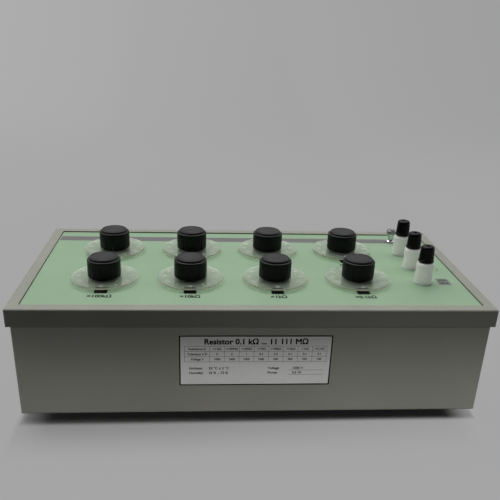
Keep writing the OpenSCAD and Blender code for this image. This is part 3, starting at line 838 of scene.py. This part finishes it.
@dataclass(frozen=True)
class MouldedPlastic(Finish):
    """Moulded plastic or rubber with grain, bloom and a few scuffs."""

    base: Colour
    bloom: Colour
    roughness: float
    grain_scale: float = 1800.0
    relief_strength: float = 0.3
    relief: float = 0.03 * MM
    scuff: Colour = srgb(84, 84, 84)
    scuff_share: float = 0.25
    scuff_stretch: Triple = (1.0, 6.0, 1.5)
    scuff_scale: float = 90.0
    scuff_rarity: float = 0.66
    dust: Colour = srgb(150, 148, 142)
    dust_scale: float = 60.0
    dust_amount: float = 0.2
    shine: float = 0.5
    waxy: float = 0.0
    wax_radius: Triple = (1.0, 0.95, 0.85)
    wax_depth: float = 9.0 * MM

    def wire(self, graph: Graph, place: Socket) -> Feed:
        """Grain, then scuffs, then dust, and light that goes a little way in where it is waxy.

        Args:
            graph: The material\'s graph.
            place: Object coordinates.

        Returns:
            What the Principled shader takes.
        """
        grain = MouldGrain().place(graph, place, self)
        scuffs = FineScratches().place(graph, graph.stretched(place, self.scuff_stretch), self)["Mask"]
        dust = SettledDust().place(graph, place, self)["Mask"]
        worn = graph.mix(graph.times(scuffs, self.scuff_share), grain["Colour"], self.scuff)
        feed = {
            "Base Color": graph.mix(dust, worn, self.dust),
            "Roughness": grain["Roughness"],
            "Normal": graph.bump(grain["Height"], self.relief_strength, self.relief),
            "Specular IOR Level": self.shine,
        }
        if self.waxy > 0.0:
            feed["Subsurface Weight"] = self.waxy
            feed["Subsurface Radius"] = self.wax_radius
            feed["Subsurface Scale"] = self.wax_depth
        return feed


@dataclass(frozen=True)
class KnobPlastic(Finish):
    """Black knob: polished grip, satin turned cap with faint rings and a painted grey sheen."""

    axis: Triple
    pitch: float
    cap_radius: float
    cap_height: float
    base: Colour = srgb(7, 7, 8)
    bloom: Colour = srgb(15, 15, 15)
    roughness: float = 0.34
    grain_scale: float = 1600.0
    # Painted sheen: the cap's grey stands in for the shine of the same black plastic as the grip
    cap: Colour = srgb(40, 39, 42)
    cap_dulling: float = 0.12
    ring_step: float = 0.9 * MM
    ring_share: float = 0.8
    relief_strength: float = 0.25
    relief: float = 0.03 * MM
    dust: Colour = srgb(140, 138, 134)
    dust_scale: float = 70.0
    dust_amount: float = 0.3
    shine: float = 0.22

    def wire(self, graph: Graph, place: Socket) -> Feed:
        """The cap is where the place is high and near the axis; its rings are a wave of the radius; its grey
        is painted sheen.

        Args:
            graph: The material\'s graph.
            place: Object coordinates.

        Returns:
            What the Principled shader takes.
        """
        radius = DialPolar().place(graph, place, self)["Radius"]
        grain = MouldGrain().place(graph, place, self)
        dust = SettledDust().place(graph, place, self)["Mask"]
        high = graph.math("GREATER_THAN", graph.split(place)[2], self.cap_height)
        on_cap = graph.times(high, graph.math("LESS_THAN", radius, self.cap_radius))
        turn = graph.math("DIVIDE", graph.times(radius, 2 * math.pi), self.ring_step)
        rings = graph.times(graph.scaled(graph.math("SINE", turn), 0.5, 0.5), on_cap)
        height = graph.plus(grain["Height"], graph.times(rings, self.ring_share))
        return {
            # The cap's grey over the black grip is painted sheen
            "Base Color": graph.mix(dust, graph.mix(on_cap, grain["Colour"], self.cap), self.dust),
            "Roughness": graph.plus(grain["Roughness"], graph.times(on_cap, self.cap_dulling)),
            "Normal": graph.bump(height, self.relief_strength, self.relief),
            "Specular IOR Level": self.shine,
        }


@dataclass(frozen=True)
class ClearAcrylic(Finish):
    """Clear dial disc, wiped by handling and matt at its sawn rim, with a painted glow along the rim."""

    axis: Triple
    pitch: float
    rim_radius: float
    base: Colour = srgb(250, 251, 247)
    rim: Colour = srgb(246, 240, 218)
    # Painted glow: emission at the rim that stands in for light gathered inside the disc
    rim_glow: Colour = srgb(84, 90, 74)
    rim_width: float = 0.6 * MM
    rim_roughness: float = 0.35
    wipe_rings: float = 900.0
    wipe_turns: float = 3.0
    wipe_dulling: float = 0.06
    least_rough: float = 0.02
    clear: float = 0.95
    index: float = 1.49
    passing: Colour = srgb(165, 168, 160)

    def wire(self, graph: Graph, place: Socket) -> Feed:
        """Fine rings of wiping by the radius vary the polish; the rough rim gets a painted glow from its
        emission colour.

        Args:
            graph: The material\'s graph.
            place: Object coordinates.

        Returns:
            What the Principled shader takes.
        """
        polar = DialPolar().place(graph, place, self)
        edge = graph.band(polar["Radius"], self.rim_radius - self.rim_width, self.rim_radius)
        ring = graph.times(polar["Radius"], self.wipe_rings)
        turn = graph.times(polar["Angle"], self.wipe_turns)
        around = graph.add("ShaderNodeCombineXYZ", {0: ring, 1: turn}).outputs[0]
        wiped = graph.noise(around, 1.0, detail=4.0, roughness=0.6)
        polish = graph.scaled(wiped, self.wipe_dulling, self.least_rough)
        return {
            "Base Color": graph.mix(edge, self.base, self.rim),
            # Painted glow at the rim
            "Emission Color": graph.mix(edge, BLACK, self.rim_glow),
            "Emission Strength": 1.0,
            "Roughness": graph.scaled(edge, self.rim_roughness, polish),
            "Transmission Weight": self.clear,
            "IOR": self.index,
        }

    def surface(self, graph: Graph, shader: Socket, place: Socket) -> Socket:
        """Returns the shader, with lamp light passing through to the panel below."""
        through = graph.add("ShaderNodeBsdfTransparent", {"Color": self.passing}).outputs[0]
        return graph.mix_shaders(graph.ray("Shadow"), shader, through)


@dataclass(frozen=True)
class PlainMetal(Finish):
    """Bare, plated or lacquered metal with grain and a light stain."""

    base: Colour
    stain: Colour
    roughness: float
    metallic: float = 1.0
    grain_scale: float = 900.0
    relief_strength: float = 0.25
    relief: float = 0.01 * MM

    def wire(self, graph: Graph, place: Socket) -> Feed:
        """Grain in tone, sheen and relief.

        Args:
            graph: The material\'s graph.
            place: Object coordinates.

        Returns:
            What the Principled shader takes.
        """
        grain = MetalGrain().place(graph, place, self)
        return {
            "Base Color": grain["Colour"],
            "Metallic": self.metallic,
            "Roughness": grain["Roughness"],
            "Normal": graph.bump(grain["Height"], self.relief_strength, self.relief),
        }


@dataclass(frozen=True)
class Laminate(Finish):
    """Brown phenolic board with pressed paper fibres."""

    base: Colour = srgb(122, 82, 50)
    fibre: Colour = srgb(92, 58, 33)
    fibre_stretch: Triple = (40.0, 400.0, 400.0)
    fibre_scale: float = 2.0
    fibre_share: float = 0.6
    cloud_scale: float = 50.0
    cloud_share: float = 0.4
    tone_range: Pair = (0.3, 0.7)
    least_rough: float = 0.35
    fibre_dulling: float = 0.25
    relief_strength: float = 0.2
    relief: float = 0.03 * MM

    def wire(self, graph: Graph, place: Socket) -> Feed:
        """Fibres are noise that is stretched along X over slow clouds.

        Args:
            graph: The material\'s graph.
            place: Object coordinates.

        Returns:
            What the Principled shader takes.
        """
        drawn = graph.stretched(place, self.fibre_stretch)
        streak = graph.noise(drawn, self.fibre_scale, detail=5.0, roughness=0.65)
        cloud = graph.noise(place, self.cloud_scale, detail=4.0)
        blend = graph.scaled(cloud, self.cloud_share, graph.times(streak, self.fibre_share))
        return {
            "Base Color": graph.mix(graph.band(blend, *self.tone_range), self.base, self.fibre),
            "Roughness": graph.scaled(streak, self.fibre_dulling, self.least_rough),
            "Normal": graph.bump(streak, self.relief_strength, self.relief),
        }


BLACK_INK = PrintInk("black_ink", srgb(4, 5, 4), srgb(12, 14, 12), shine=0.1)
STRIPE_INK = PrintInk("stripe_ink", srgb(104, 102, 103), srgb(111, 111, 110))
LABEL_INK = PrintInk("label_ink", srgb(72, 78, 75), srgb(82, 87, 83))
PALE_INK = PrintInk("pale_ink", srgb(196, 200, 194), srgb(184, 190, 184))
DIGIT_FILL = PrintInk("digit_fill", srgb(236, 236, 228), srgb(222, 222, 214), cover=0.6)
WHITE_PILLAR = MouldedPlastic(
    "white_pillar", srgb(244, 244, 238), srgb(235, 235, 226), 0.36, scuff=srgb(206, 204, 196), waxy=1.0
)
CAP_PLASTIC = MouldedPlastic("cap_plastic", srgb(6, 6, 6), srgb(13, 13, 13), 0.3, shine=0.14)
FOOT_RUBBER = MouldedPlastic("foot_rubber_dull", srgb(36, 36, 35), srgb(52, 51, 48), 0.78, relief=0.08 * MM)
RESISTOR_LACQUER = MouldedPlastic(
    "resistor_lacquer", srgb(74, 124, 152), srgb(62, 104, 130), 0.3, scuff=srgb(120, 160, 180)
)
ZINC = PlainMetal("zinc_plate", srgb(196, 199, 200), srgb(160, 160, 150), 0.28)
BRASS = PlainMetal("turned_brass", srgb(214, 178, 104), srgb(150, 110, 58), 0.26)
COPPER = PlainMetal("copper_wire", srgb(214, 138, 98), srgb(140, 78, 48), 0.3)
CHROME = PlainMetal("chrome_plate", srgb(222, 224, 226), srgb(190, 190, 186), 0.06)
# Painted shade: chrome darkened to stand in for the shade in the earth nut's knurl grooves
SHADED_KNURL_CHROME = PlainMetal("knurl_shaded_chrome", srgb(158, 160, 161), srgb(120, 121, 119), 0.2)
NICKEL = PlainMetal("nickel_plate", srgb(206, 203, 195), srgb(176, 168, 150), 0.2)
PLATE_FOIL = PlainMetal("plate_foil_satin", srgb(202, 202, 199), srgb(192, 192, 188), 0.4, metallic=0.05)
DECK_BOARD = Laminate("deck_board")


# The object


def middle(node: str) -> Vector:
    """Returns the middle of a node's box."""
    low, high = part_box(node)
    return (low + high) / 2


def numbered(stem: str, count: int, part: str) -> list[str]:
    """Returns the names of the like nodes of a set, counted from 1."""
    return [f"{stem}_{n}_{part}" for n in range(1, count + 1)]


@dataclass
class Case:
    """Folded tub and top frame, their feet and screws, and the plate on the front wall."""

    ink: float = 0.04 * MM
    plate_line: float = 1.5 * MM
    plate_corner: float = 1.0 * MM
    rule: float = 0.4 * MM
    table_width: float = 160 * MM
    label_column: float = 28 * MM
    table_top: float = 18.5 * MM
    row_height: float = 6.6 * MM
    head_level: float = 24.5 * MM
    head_height: float = 7.0 * MM
    head_bold: float = 0.035
    text_height: float = 2.7 * MM
    text_bold: float = 0.03
    note_level: float = -9.5 * MM
    note_step: float = 6.0 * MM
    note_size: float = 1.15
    note_line: float = 40 * MM
    note_line_place: float = 58 * MM
    note_line_drop: float = 2.9 * MM

    def build(self) -> None:
        """Dresses the case and prints its plate."""
        for node, name in (("case_tub", "tub_enamel"), ("top_frame", "frame_enamel")):
            low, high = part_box(node)
            dress([node], CaseEnamel(name, tuple((low + high) / 2), tuple((high - low) / 2)))
        dress(["data_plate"], PLATE_FOIL)
        dress(["feet"], FOOT_RUBBER)
        dress(["frame_screws", "panel_nuts"], ZINC)
        self.print_plate()

    def face(self) -> tuple[Plane, float, float]:
        """Finds the plate's front face.

        Returns:
            Its plane, its width and its height.
        """
        low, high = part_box("data_plate")
        centre = (low + high) / 2
        plane = Plane((centre.x, low.y, centre.z), (1, 0, 0), (0, 0, 1), (0, -1, 0))
        return plane, high.x - low.x, high.z - low.z

    def columns(self) -> Array:
        """Returns the places of the table's upright rules, from the left."""
        first = -self.table_width / 2
        return np.concatenate([[first], np.linspace(first + self.label_column, -first, DIAL_COUNT + 1)])

    def note_levels(self) -> Array:
        """Returns the heights of the two rows of words below the table."""
        return self.note_level - self.note_step * np.arange(2)

    def rules(self) -> Shell:
        """Draws the table's lines, and the lines under the notes on the right.

        Returns:
            A thin plate for each line.
        """
        bottom = self.table_top - len(TABLE) * self.row_height
        levels = np.linspace(self.table_top, bottom, len(TABLE) + 1)
        corner = self.rule * 0.3
        across = patch(self.table_width, self.rule, corner, self.ink)
        upright = patch(self.rule, self.table_top - bottom, corner, self.ink)
        under = patch(self.note_line, self.rule, corner, self.ink)
        lines = [across.shifted(0.0, y) for y in levels]
        lines += [upright.shifted(x, (self.table_top + bottom) / 2) for x in self.columns()]
        lines += [under.shifted(self.note_line_place, y - self.note_line_drop) for y in self.note_levels()]
        return joined(lines)

    def entries(self) -> Shell:
        """Writes the heading, the generic entries of the table and the notes below it.

        Returns:
            The words, each glyph a thin closed mesh.
        """
        columns = self.columns()
        centres = np.concatenate([[columns[:2].mean()], (columns[1:-1] + columns[2:]) / 2])
        words = []
        for row, line in enumerate(TABLE):
            y = self.table_top - (row + 0.5) * self.row_height
            words += [
                lettering(text, self.text_height, self.ink, bold=self.text_bold).shifted(x, y)
                for x, text in zip(centres, line)
            ]
        head = lettering(HEADING, self.head_height, self.ink, bold=self.head_bold)
        words.append(head.shifted(0.0, self.head_level))
        height = self.note_size * self.text_height
        for x, row, text in NOTES:
            word = lettering(text, height, self.ink, Align.LEFT, bold=self.text_bold)
            words.append(word.shifted(x, self.note_levels()[row]))
        return joined(words)

    def print_plate(self) -> None:
        """Prints the dark border, the ruled table and its plain numbers."""
        plane, width, height = self.face()
        edge = border(width, height, self.plate_corner, self.plate_line, self.ink)
        piece("plate_border", edge.moved(plane), "case", BLACK_INK)
        piece("plate_rules", self.rules().moved(plane), "case", LABEL_INK)
        piece("plate_numbers", self.entries().moved(plane), "case", BLACK_INK)


@dataclass
class Panel:
    """Green panel in the frame's window, with its printed stripe, index patches and multipliers."""

    flange: float = 13 * MM
    ink: float = 0.04 * MM
    stripe_front: float = 88.5 * MM
    stripe_depth: float = 17 * MM
    stripe_end_gap: float = 2 * MM
    stripe_corner: float = 0.5 * MM
    index_width: float = 14.6 * MM
    index_depth: float = 15.6 * MM
    index_reach: float = 40.2 * MM
    index_corner: float = 0.4 * MM
    text_reach: float = 47.5 * MM
    text_height: float = 7.2 * MM
    text_bold: float = 0.04
    text_narrow: float = 0.84
    label_place: Pair = (235.5 * MM, -51.5 * MM)
    label_size: Pair = (15 * MM, 19 * MM)
    label_corner: float = 0.6 * MM
    label_margin: float = 1 * MM
    label_line: float = 0.4 * MM
    label_line_corner: float = 0.5 * MM
    label_text: float = 3.4 * MM
    mark_place: Pair = (240.6 * MM, -11 * MM)
    mark_height: float = 5 * MM

    def build(self) -> None:
        """Dresses the panel and prints on it."""
        low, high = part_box("top_frame")
        half_width = (high.x - low.x) / 2 - self.flange
        half_depth = (high.y - low.y) / 2 - self.flange
        dress(["panel"], PanelEnamel("panel_enamel", half_width, half_depth))
        face = Plane((0, 0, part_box("panel")[1].z), (1, 0, 0), (0, 1, 0), (0, 0, 1))
        self.print_stripe(face, half_width)
        self.print_scales(face)
        self.print_label(face)

    def print_stripe(self, face: Plane, half_width: float) -> None:
        """Prints the plain grey stripe along the back.

        Args:
            face: The panel's upper face.
            half_width: Half the width of the window.
        """
        width = 2 * (half_width - self.stripe_end_gap)
        stripe = patch(width, self.stripe_depth, self.stripe_corner, self.ink)
        place = stripe.shifted(0.0, self.stripe_front + self.stripe_depth / 2)
        piece("panel_stripe", place.moved(face), "case", STRIPE_INK)

    def print_scales(self, face: Plane) -> None:
        """Prints each dial's index patch and its multiplier in front of it.

        Args:
            face: The panel's upper face.
        """
        patches, words = [], []
        index = patch(self.index_width, self.index_depth, self.index_corner, self.ink)
        for n, text in enumerate(MULTIPLIERS, start=1):
            axis = middle(f"dial_{n}_disc")
            patches.append(index.shifted(axis.x, axis.y - self.index_reach + self.index_depth / 2))
            word = lettering(text, self.text_height, self.ink, bold=self.text_bold, narrow=self.text_narrow)
            words.append(word.shifted(axis.x, axis.y - self.text_reach))
        piece("index_patches", joined(patches).moved(face), "case", BLACK_INK)
        piece("multipliers", joined(words).moved(face), "case", BLACK_INK)

    def print_label(self, face: Plane) -> None:
        """Prints the small grey label beside the posts, and the mark behind it.

        Args:
            face: The panel's upper face.
        """
        width, depth = self.label_size
        label = patch(width, depth, self.label_corner, self.ink).shifted(*self.label_place)
        piece("label_patch", label.moved(face), "case", LABEL_INK)
        inner = (width - 2 * self.label_margin, depth - 2 * self.label_margin)
        line = border(*inner, self.label_line_corner, self.label_line, self.ink)
        number = lettering("0-10", self.label_text, self.ink)
        pale = joined([s.shifted(*self.label_place, self.ink) for s in (line, number)])
        piece("label_print", pale.moved(face), "case", PALE_INK)
        mark = lettering("2", self.mark_height, self.ink).shifted(*self.mark_place)
        piece("post_mark", mark.moved(face), "case", BLACK_INK)


@dataclass
class Dials:
    """Eight decade dials: knob, clear disc with digits, shaft and wiper."""

    steps: int = 11
    step_angle: float = math.radians(30)
    digit_radius: float = 31 * MM
    digit_height: float = 6.4 * MM
    fill: float = 0.05 * MM
    cap_radius: float = 16.55 * MM
    cap_rise: float = 2.5 * MM

    def build(self) -> None:
        """Dresses the dials and fills their digits."""
        first, beside = middle("dial_1_disc"), middle("dial_2_disc")
        pitch = beside.x - first.x
        low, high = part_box("dial_1_disc")
        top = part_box("dial_1_knob")[1].z
        axis = (first.x, first.y, 0.0)
        knob = KnobPlastic("knob_plastic", axis, pitch, self.cap_radius, top - self.cap_rise)
        disc = ClearAcrylic("clear_acrylic", axis, pitch, (high.x - low.x) / 2)
        for part, finish in (("knob", knob), ("disc", disc), ("shaft", ZINC), ("wiper", BRASS)):
            dress(numbered("dial", DIAL_COUNT, part), finish)
        ring = self.digits()
        for n in range(1, DIAL_COUNT + 1):
            centre = middle(f"dial_{n}_disc")
            placed = ring.shifted(centre.x, centre.y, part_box(f"dial_{n}_disc")[1].z)
            piece(f"dial_{n}_digits", placed, f"dial_{n}", DIGIT_FILL)

    def digits(self) -> Shell:
        """Sets the digits round a dial, each upright when it stands at the front index.

        Returns:
            The ring of digits about the origin.
        """
        made = []
        for value in range(self.steps):
            digit = lettering(str(value), self.digit_height, self.fill)
            made.append(digit.shifted(0.0, -self.digit_radius).turned(value * self.step_angle))
        return joined(made)


@dataclass
class Switches:
    """The rotary switches and their wiring under the panel."""

    def build(self) -> None:
        """Dresses the inner pieces."""
        dress(["switch_plates", "switch_nuts", "switch_pillars", "detent_springs"], ZINC)
        dress(["switch_bushes", "switch_contacts"], BRASS)
        dress(["switch_decks"], DECK_BOARD)
        dress(["resistors"], RESISTOR_LACQUER)
        dress(["bus_wires"], COPPER)


@dataclass
class Terminals:
    """Three binding posts and the earth terminal."""

    def build(self) -> None:
        """Dresses the terminals."""
        dress(["post_insulators"], WHITE_PILLAR)
        dress(["post_studs", "post_nuts"], BRASS)
        dress(numbered("post", POST_COUNT, "collar"), NICKEL)
        dress(numbered("post", POST_COUNT, "cap"), CAP_PLASTIC)
        dress(["earth_post", "earth_washer"], CHROME)
        dress(["earth_nut"], SHADED_KNURL_CHROME)


# The studio


@dataclass(frozen=True)
class StudioPaper(Finish):
    """Pale grey paper of floor and backdrop, round a case of a given half width and half depth.

    It takes the object's shadow, lightened in places by painted light, evens out towards the wall and throws
    little light back at the object.
    """

    half_width: float
    half_depth: float
    tones: tuple[Colour, Colour] = (srgb(164, 164, 164), srgb(168, 168, 168))
    tone_scale: float = 3.0
    roughness: float = 0.9
    shine: float = 0.1
    bounce: float = 0.45
    floor_tone: float = 0.38
    wall_tone: float = 0.385
    wall_near: float = 0.2
    wall_far: float = 2.3
    tone_slope: float = -0.03
    far_start: float = 1.4
    far_end: float = 3.4
    side_clear: float = 12.0
    # Painted light: these bands set where the even tone covers the lit paper by the case, which sets the
    # shadow's reach and lightens it on the right and at the ends
    shadow_start: float = 0.004
    shadow_reach: float = 0.014
    shade_reach: float = 0.08
    right_lift: float = 0.003
    end_start: float = 0.23
    under_share: float = 0.02
    left_end_share: float = 0.28
    right_end_share: float = 0.58
    left_share: float = 0.58
    right_share: float = 0.84
    end_lift: float = 0.12
    open_share: float = 0.94

    def wire(self, graph: Graph, place: Socket) -> Feed:
        """Slow noise between two tones, darker to the light that would bounce back at the object.

        Args:
            graph: The material\'s graph.
            place: Object coordinates.

        Returns:
            What the Principled shader takes.
        """
        plain = graph.mix(graph.noise(place, self.tone_scale, detail=3.0), *self.tones)
        return {
            "Base Color": graph.mix(graph.times(graph.ray("Diffuse"), 1.0 - self.bounce), plain, BLACK),
            "Roughness": self.roughness,
            "Specular IOR Level": self.shine,
        }

    def surface(self, graph: Graph, shader: Socket, place: Socket) -> Socket:
        """Mixes the lit paper with an even tone, for the camera and for what is mirrored.

        Args:
            graph: The material's graph.
            shader: What the Principled shader gives.
            place: Object coordinates.

        Returns:
            The mixed shader's socket.
        """
        x, y, _ = graph.split(place)
        even = graph.add("ShaderNodeEmission", {"Strength": self.level(graph, x, y)}).outputs[0]
        mirrored = graph.math("MAXIMUM", graph.ray("Glossy"), graph.ray("Transmission"))
        seen = graph.math("MAXIMUM", graph.ray("Camera"), mirrored)
        return graph.mix_shaders(graph.times(seen, self.share(graph, x, y)), shader, even)

    def level(self, graph: Graph, x: Socket, y: Socket) -> Socket:
        """Works out the even tone: the floor's, then the wall's with a slope from side to side.

        Args:
            graph: The material's graph.
            x: Place along X.
            y: Place along Y.

        Returns:
            The tone's socket.
        """
        behind = graph.band(y, self.wall_near, self.wall_far)
        tone = graph.scaled(behind, self.wall_tone - self.floor_tone, self.floor_tone)
        slope = graph.band(graph.math("ABSOLUTE", x), self.far_start, self.far_end, self.tone_slope, 0.0)
        return graph.plus(tone, graph.times(x, graph.times(slope, behind)))

    def share(self, graph: Graph, x: Socket, y: Socket) -> Socket:
        """Works out the share of the even tone by the distance from the case's footprint.

        It grows in three bands: the shadow under the case, the shade round it and the open floor. The
        distance counts more to the sides. Shadow and shade are painted lighter on the right and at both ends,
        where the even tone stands in for the lit paper.

        Args:
            graph: The material's graph.
            x: Place along X.
            y: Place along Y.

        Returns:
            The share's socket.
        """
        aside, ahead = [
            graph.math("MAXIMUM", graph.minus(graph.math("ABSOLUTE", value), half), 0.0)
            for value, half in ((x, self.half_width), (y, self.half_depth))
        ]
        squares = [graph.math("POWER", v, 2.0) for v in (graph.times(aside, self.side_clear), ahead)]
        distance = graph.math("POWER", graph.plus(*squares), 0.5)
        rightward = graph.band(x, -self.half_width, self.half_width)
        ends = graph.band(graph.math("ABSOLUTE", x), self.end_start, self.half_width)
        away = graph.scaled(rightward, self.right_lift, distance)
        gap = graph.scaled(rightward, self.right_end_share - self.left_end_share, self.left_end_share)
        under = graph.scaled(ends, gap, self.under_share)
        front = graph.scaled(rightward, self.right_share - self.left_share, self.left_share)
        edge = graph.scaled(ends, self.end_lift, front)
        shadow = graph.band(away, self.shadow_start, self.shadow_reach, under, edge)
        rest = graph.minus(self.open_share, edge)
        shade = graph.band(away, self.shadow_reach, self.shade_reach, 0.0, rest)
        far = graph.band(away, self.far_start, self.far_end, 0.0, 1.0 - self.open_share)
        return graph.plus(graph.plus(shadow, shade), far)


@dataclass(frozen=True)
class Lamp:
    """A soft rectangular lamp that the camera doesn't see.

    Power is in watts and spread is the full angle of the beam in degrees. Where nodes are named in kept_to,
    it lights only these, as a flag before the lamp would see to.
    """

    name: str
    power: float
    size: Pair
    place: Triple
    aim: Triple
    spread: float = 180.0
    kept_to: tuple[str, ...] = ()

    def hang(self) -> None:
        """Hangs the lamp at its place, turned towards its aim."""
        data = bpy.data.lights.new(self.name, "AREA")
        data.energy = self.power
        data.shape = "RECTANGLE"
        data.size, data.size_y = self.size
        data.spread = math.radians(self.spread)
        made = bpy.data.objects.new(self.name, data)
        made.location = self.place
        made.rotation_mode = "QUATERNION"
        made.rotation_quaternion = (Vector(self.aim) - Vector(self.place)).to_track_quat("-Z", "Y")
        made.visible_camera = False
        bpy.context.scene.collection.objects.link(made)
        if self.kept_to:
            lit = bpy.data.collections.new(f"{self.name}_lights")
            for node in self.kept_to:
                lit.objects.link(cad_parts[node])
            made.light_linking.receiver_collection = lit


# A wide lamp above and behind, three beams at the front wall and its plate, and a fill for the posts
FRONT_WALL = ("case_tub", "data_plate")
LAMPS = (
    Lamp("top_lamp", 34.5, (2.4, 1.8), (-0.2, 0.7, 1.9), (-0.05, 0.15, 0.0)),
    Lamp("foot_lamp", 0.29, (1.3, 0.06), (0.25, -0.62, 0.45), (0.25, -0.137, -0.035), 25.0, FRONT_WALL),
    Lamp(
        "side_lamp", 0.1, (0.8, 0.06), (0.4, -0.62, 0.45), (0.4, -0.137, -0.035), 40.0,
        (*FRONT_WALL, "top_frame"),
    ),
    Lamp("plate_lamp", 0.01, (0.3, 0.03), (-0.03, -0.35, 0.2), (-0.03, -0.137, 0.06), 20.0, ("data_plate",)),
    Lamp("post_lamp", 3.4, (1.6, 0.4), (0.1, -0.8, 0.85), (0.209, 0.02, 0.155), kept_to=("post_insulators",)),
)


@dataclass
class Studio:
    """Floor and backdrop, lamps and camera."""

    frame_px: float = 500.0
    focal_px: float = 638.0
    centre_row_px: float = 299.0
    eye: Triple = (-62.1 * MM, -757.4 * MM, 436.8 * MM)
    yaw: float = 0.0845
    pitch: float = 0.4248
    roll: float = 0.0381
    sensor: float = 36.0
    floor_half_width: float = 4.0
    floor_front: float = -4.0
    wall_start: float = 1.7
    wall_radius: float = 1.2
    wall_height: float = 3.0
    bend_steps: int = 17
    tent_light: float = 0.84
    tent_open: float = -0.15
    tent_full: float = 0.2

    def build(self) -> None:
        """Sets up everything that isn't the object."""
        bpy.context.scene.view_settings.view_transform = "Standard"
        _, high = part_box("case_tub")
        paper = StudioPaper("studio_paper", high.x, high.y)
        self.sweep(paper)
        for lamp in LAMPS:
            lamp.hang()
        self.tent(paper.floor_tone)
        self.camera()

    def sweep(self, paper: StudioPaper) -> None:
        """Makes the floor and backdrop as one sheet: a line across, carried back, round and up.

        The profile is flat, then a quarter circle about a centre above the floor, then upright.

        Args:
            paper: The sheet's finish.
        """
        turn = np.linspace(0.0, math.pi / 2, self.bend_steps)
        bend_y = self.wall_start + self.wall_radius * np.sin(turn)
        bend_z = self.wall_radius * (1.0 - np.cos(turn))
        y = np.concatenate([[self.floor_front], bend_y, bend_y[-1:]])
        z = np.concatenate([[0.0], bend_z, [self.wall_height]])
        x = np.array([-self.floor_half_width, self.floor_half_width])
        points = np.stack(np.broadcast_arrays(x[None, :], y[:, None], z[:, None]), axis=-1).reshape(-1, 3)
        row = np.arange(len(y) - 1)
        faces = np.stack([2 * row, 2 * row + 1, 2 * row + 3, 2 * row + 2], axis=1)
        mesh = bpy.data.meshes.new("studio_sweep")
        mesh.from_pydata(points.tolist(), [], faces.tolist())
        mesh.shade_smooth()
        mesh.materials.append(paper.material())
        floor = bpy.data.objects.new("studio_sweep", mesh)
        bpy.context.scene.collection.objects.link(floor)

    def tent(self, tone: float) -> None:
        """Surrounds the scene with a white tent that is open towards the front.

        Its light grows smoothly with the backward part of the direction. The camera sees plain grey there.

        Args:
            tone: Tone of the plain grey.
        """
        world = bpy.data.worlds.new("studio_tent")
        bpy.context.scene.world = world
        world.use_nodes = True
        world.node_tree.nodes.clear()
        graph = Graph(world.node_tree)
        backward = graph.split(graph.add("ShaderNodeTexCoord").outputs["Generated"])[1]
        glow = graph.band(backward, self.tent_open, self.tent_full, 0.0, self.tent_light)
        seen = graph.ray("Camera")
        strength = graph.plus(graph.times(seen, tone), graph.times(graph.minus(1.0, seen), glow))
        shader = graph.add("ShaderNodeBackground", {"Color": WHITE, "Strength": strength}).outputs[0]
        graph.add("ShaderNodeOutputWorld", {"Surface": shader})

    def camera(self) -> None:
        """Sets the camera by its eye point and its yaw, pitch and roll."""
        forward = Vector((
            math.sin(self.yaw) * math.cos(self.pitch),
            math.cos(self.yaw) * math.cos(self.pitch),
            -math.sin(self.pitch),
        ))
        level = Vector((math.cos(self.yaw), -math.sin(self.yaw), 0.0))
        upright = level.cross(forward)
        right = level * math.cos(self.roll) + upright * math.sin(self.roll)
        up = upright * math.cos(self.roll) - level * math.sin(self.roll)
        data = bpy.data.cameras.new("photo_camera")
        data.sensor_width = self.sensor
        data.lens = self.focal_px * self.sensor / self.frame_px
        data.shift_y = (self.centre_row_px - self.frame_px / 2) / self.frame_px
        made = bpy.data.objects.new("photo_camera", data)
        turn = Matrix((right, up, -forward)).transposed().to_4x4()
        made.matrix_world = Matrix.Translation(Vector(self.eye)) @ turn
        bpy.context.scene.collection.objects.link(made)
        bpy.context.scene.camera = made


def main() -> None:
    """Dresses the object, piece by piece, and sets up the studio."""
    logging.basicConfig(level=logging.INFO, format="%(name)s: %(message)s")
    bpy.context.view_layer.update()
    for assembly in (Case(), Panel(), Dials(), Switches(), Terminals(), Studio()):
        LOG.info("building %s", type(assembly).__name__)
        assembly.build()


if __name__ == "__main__":
    main()
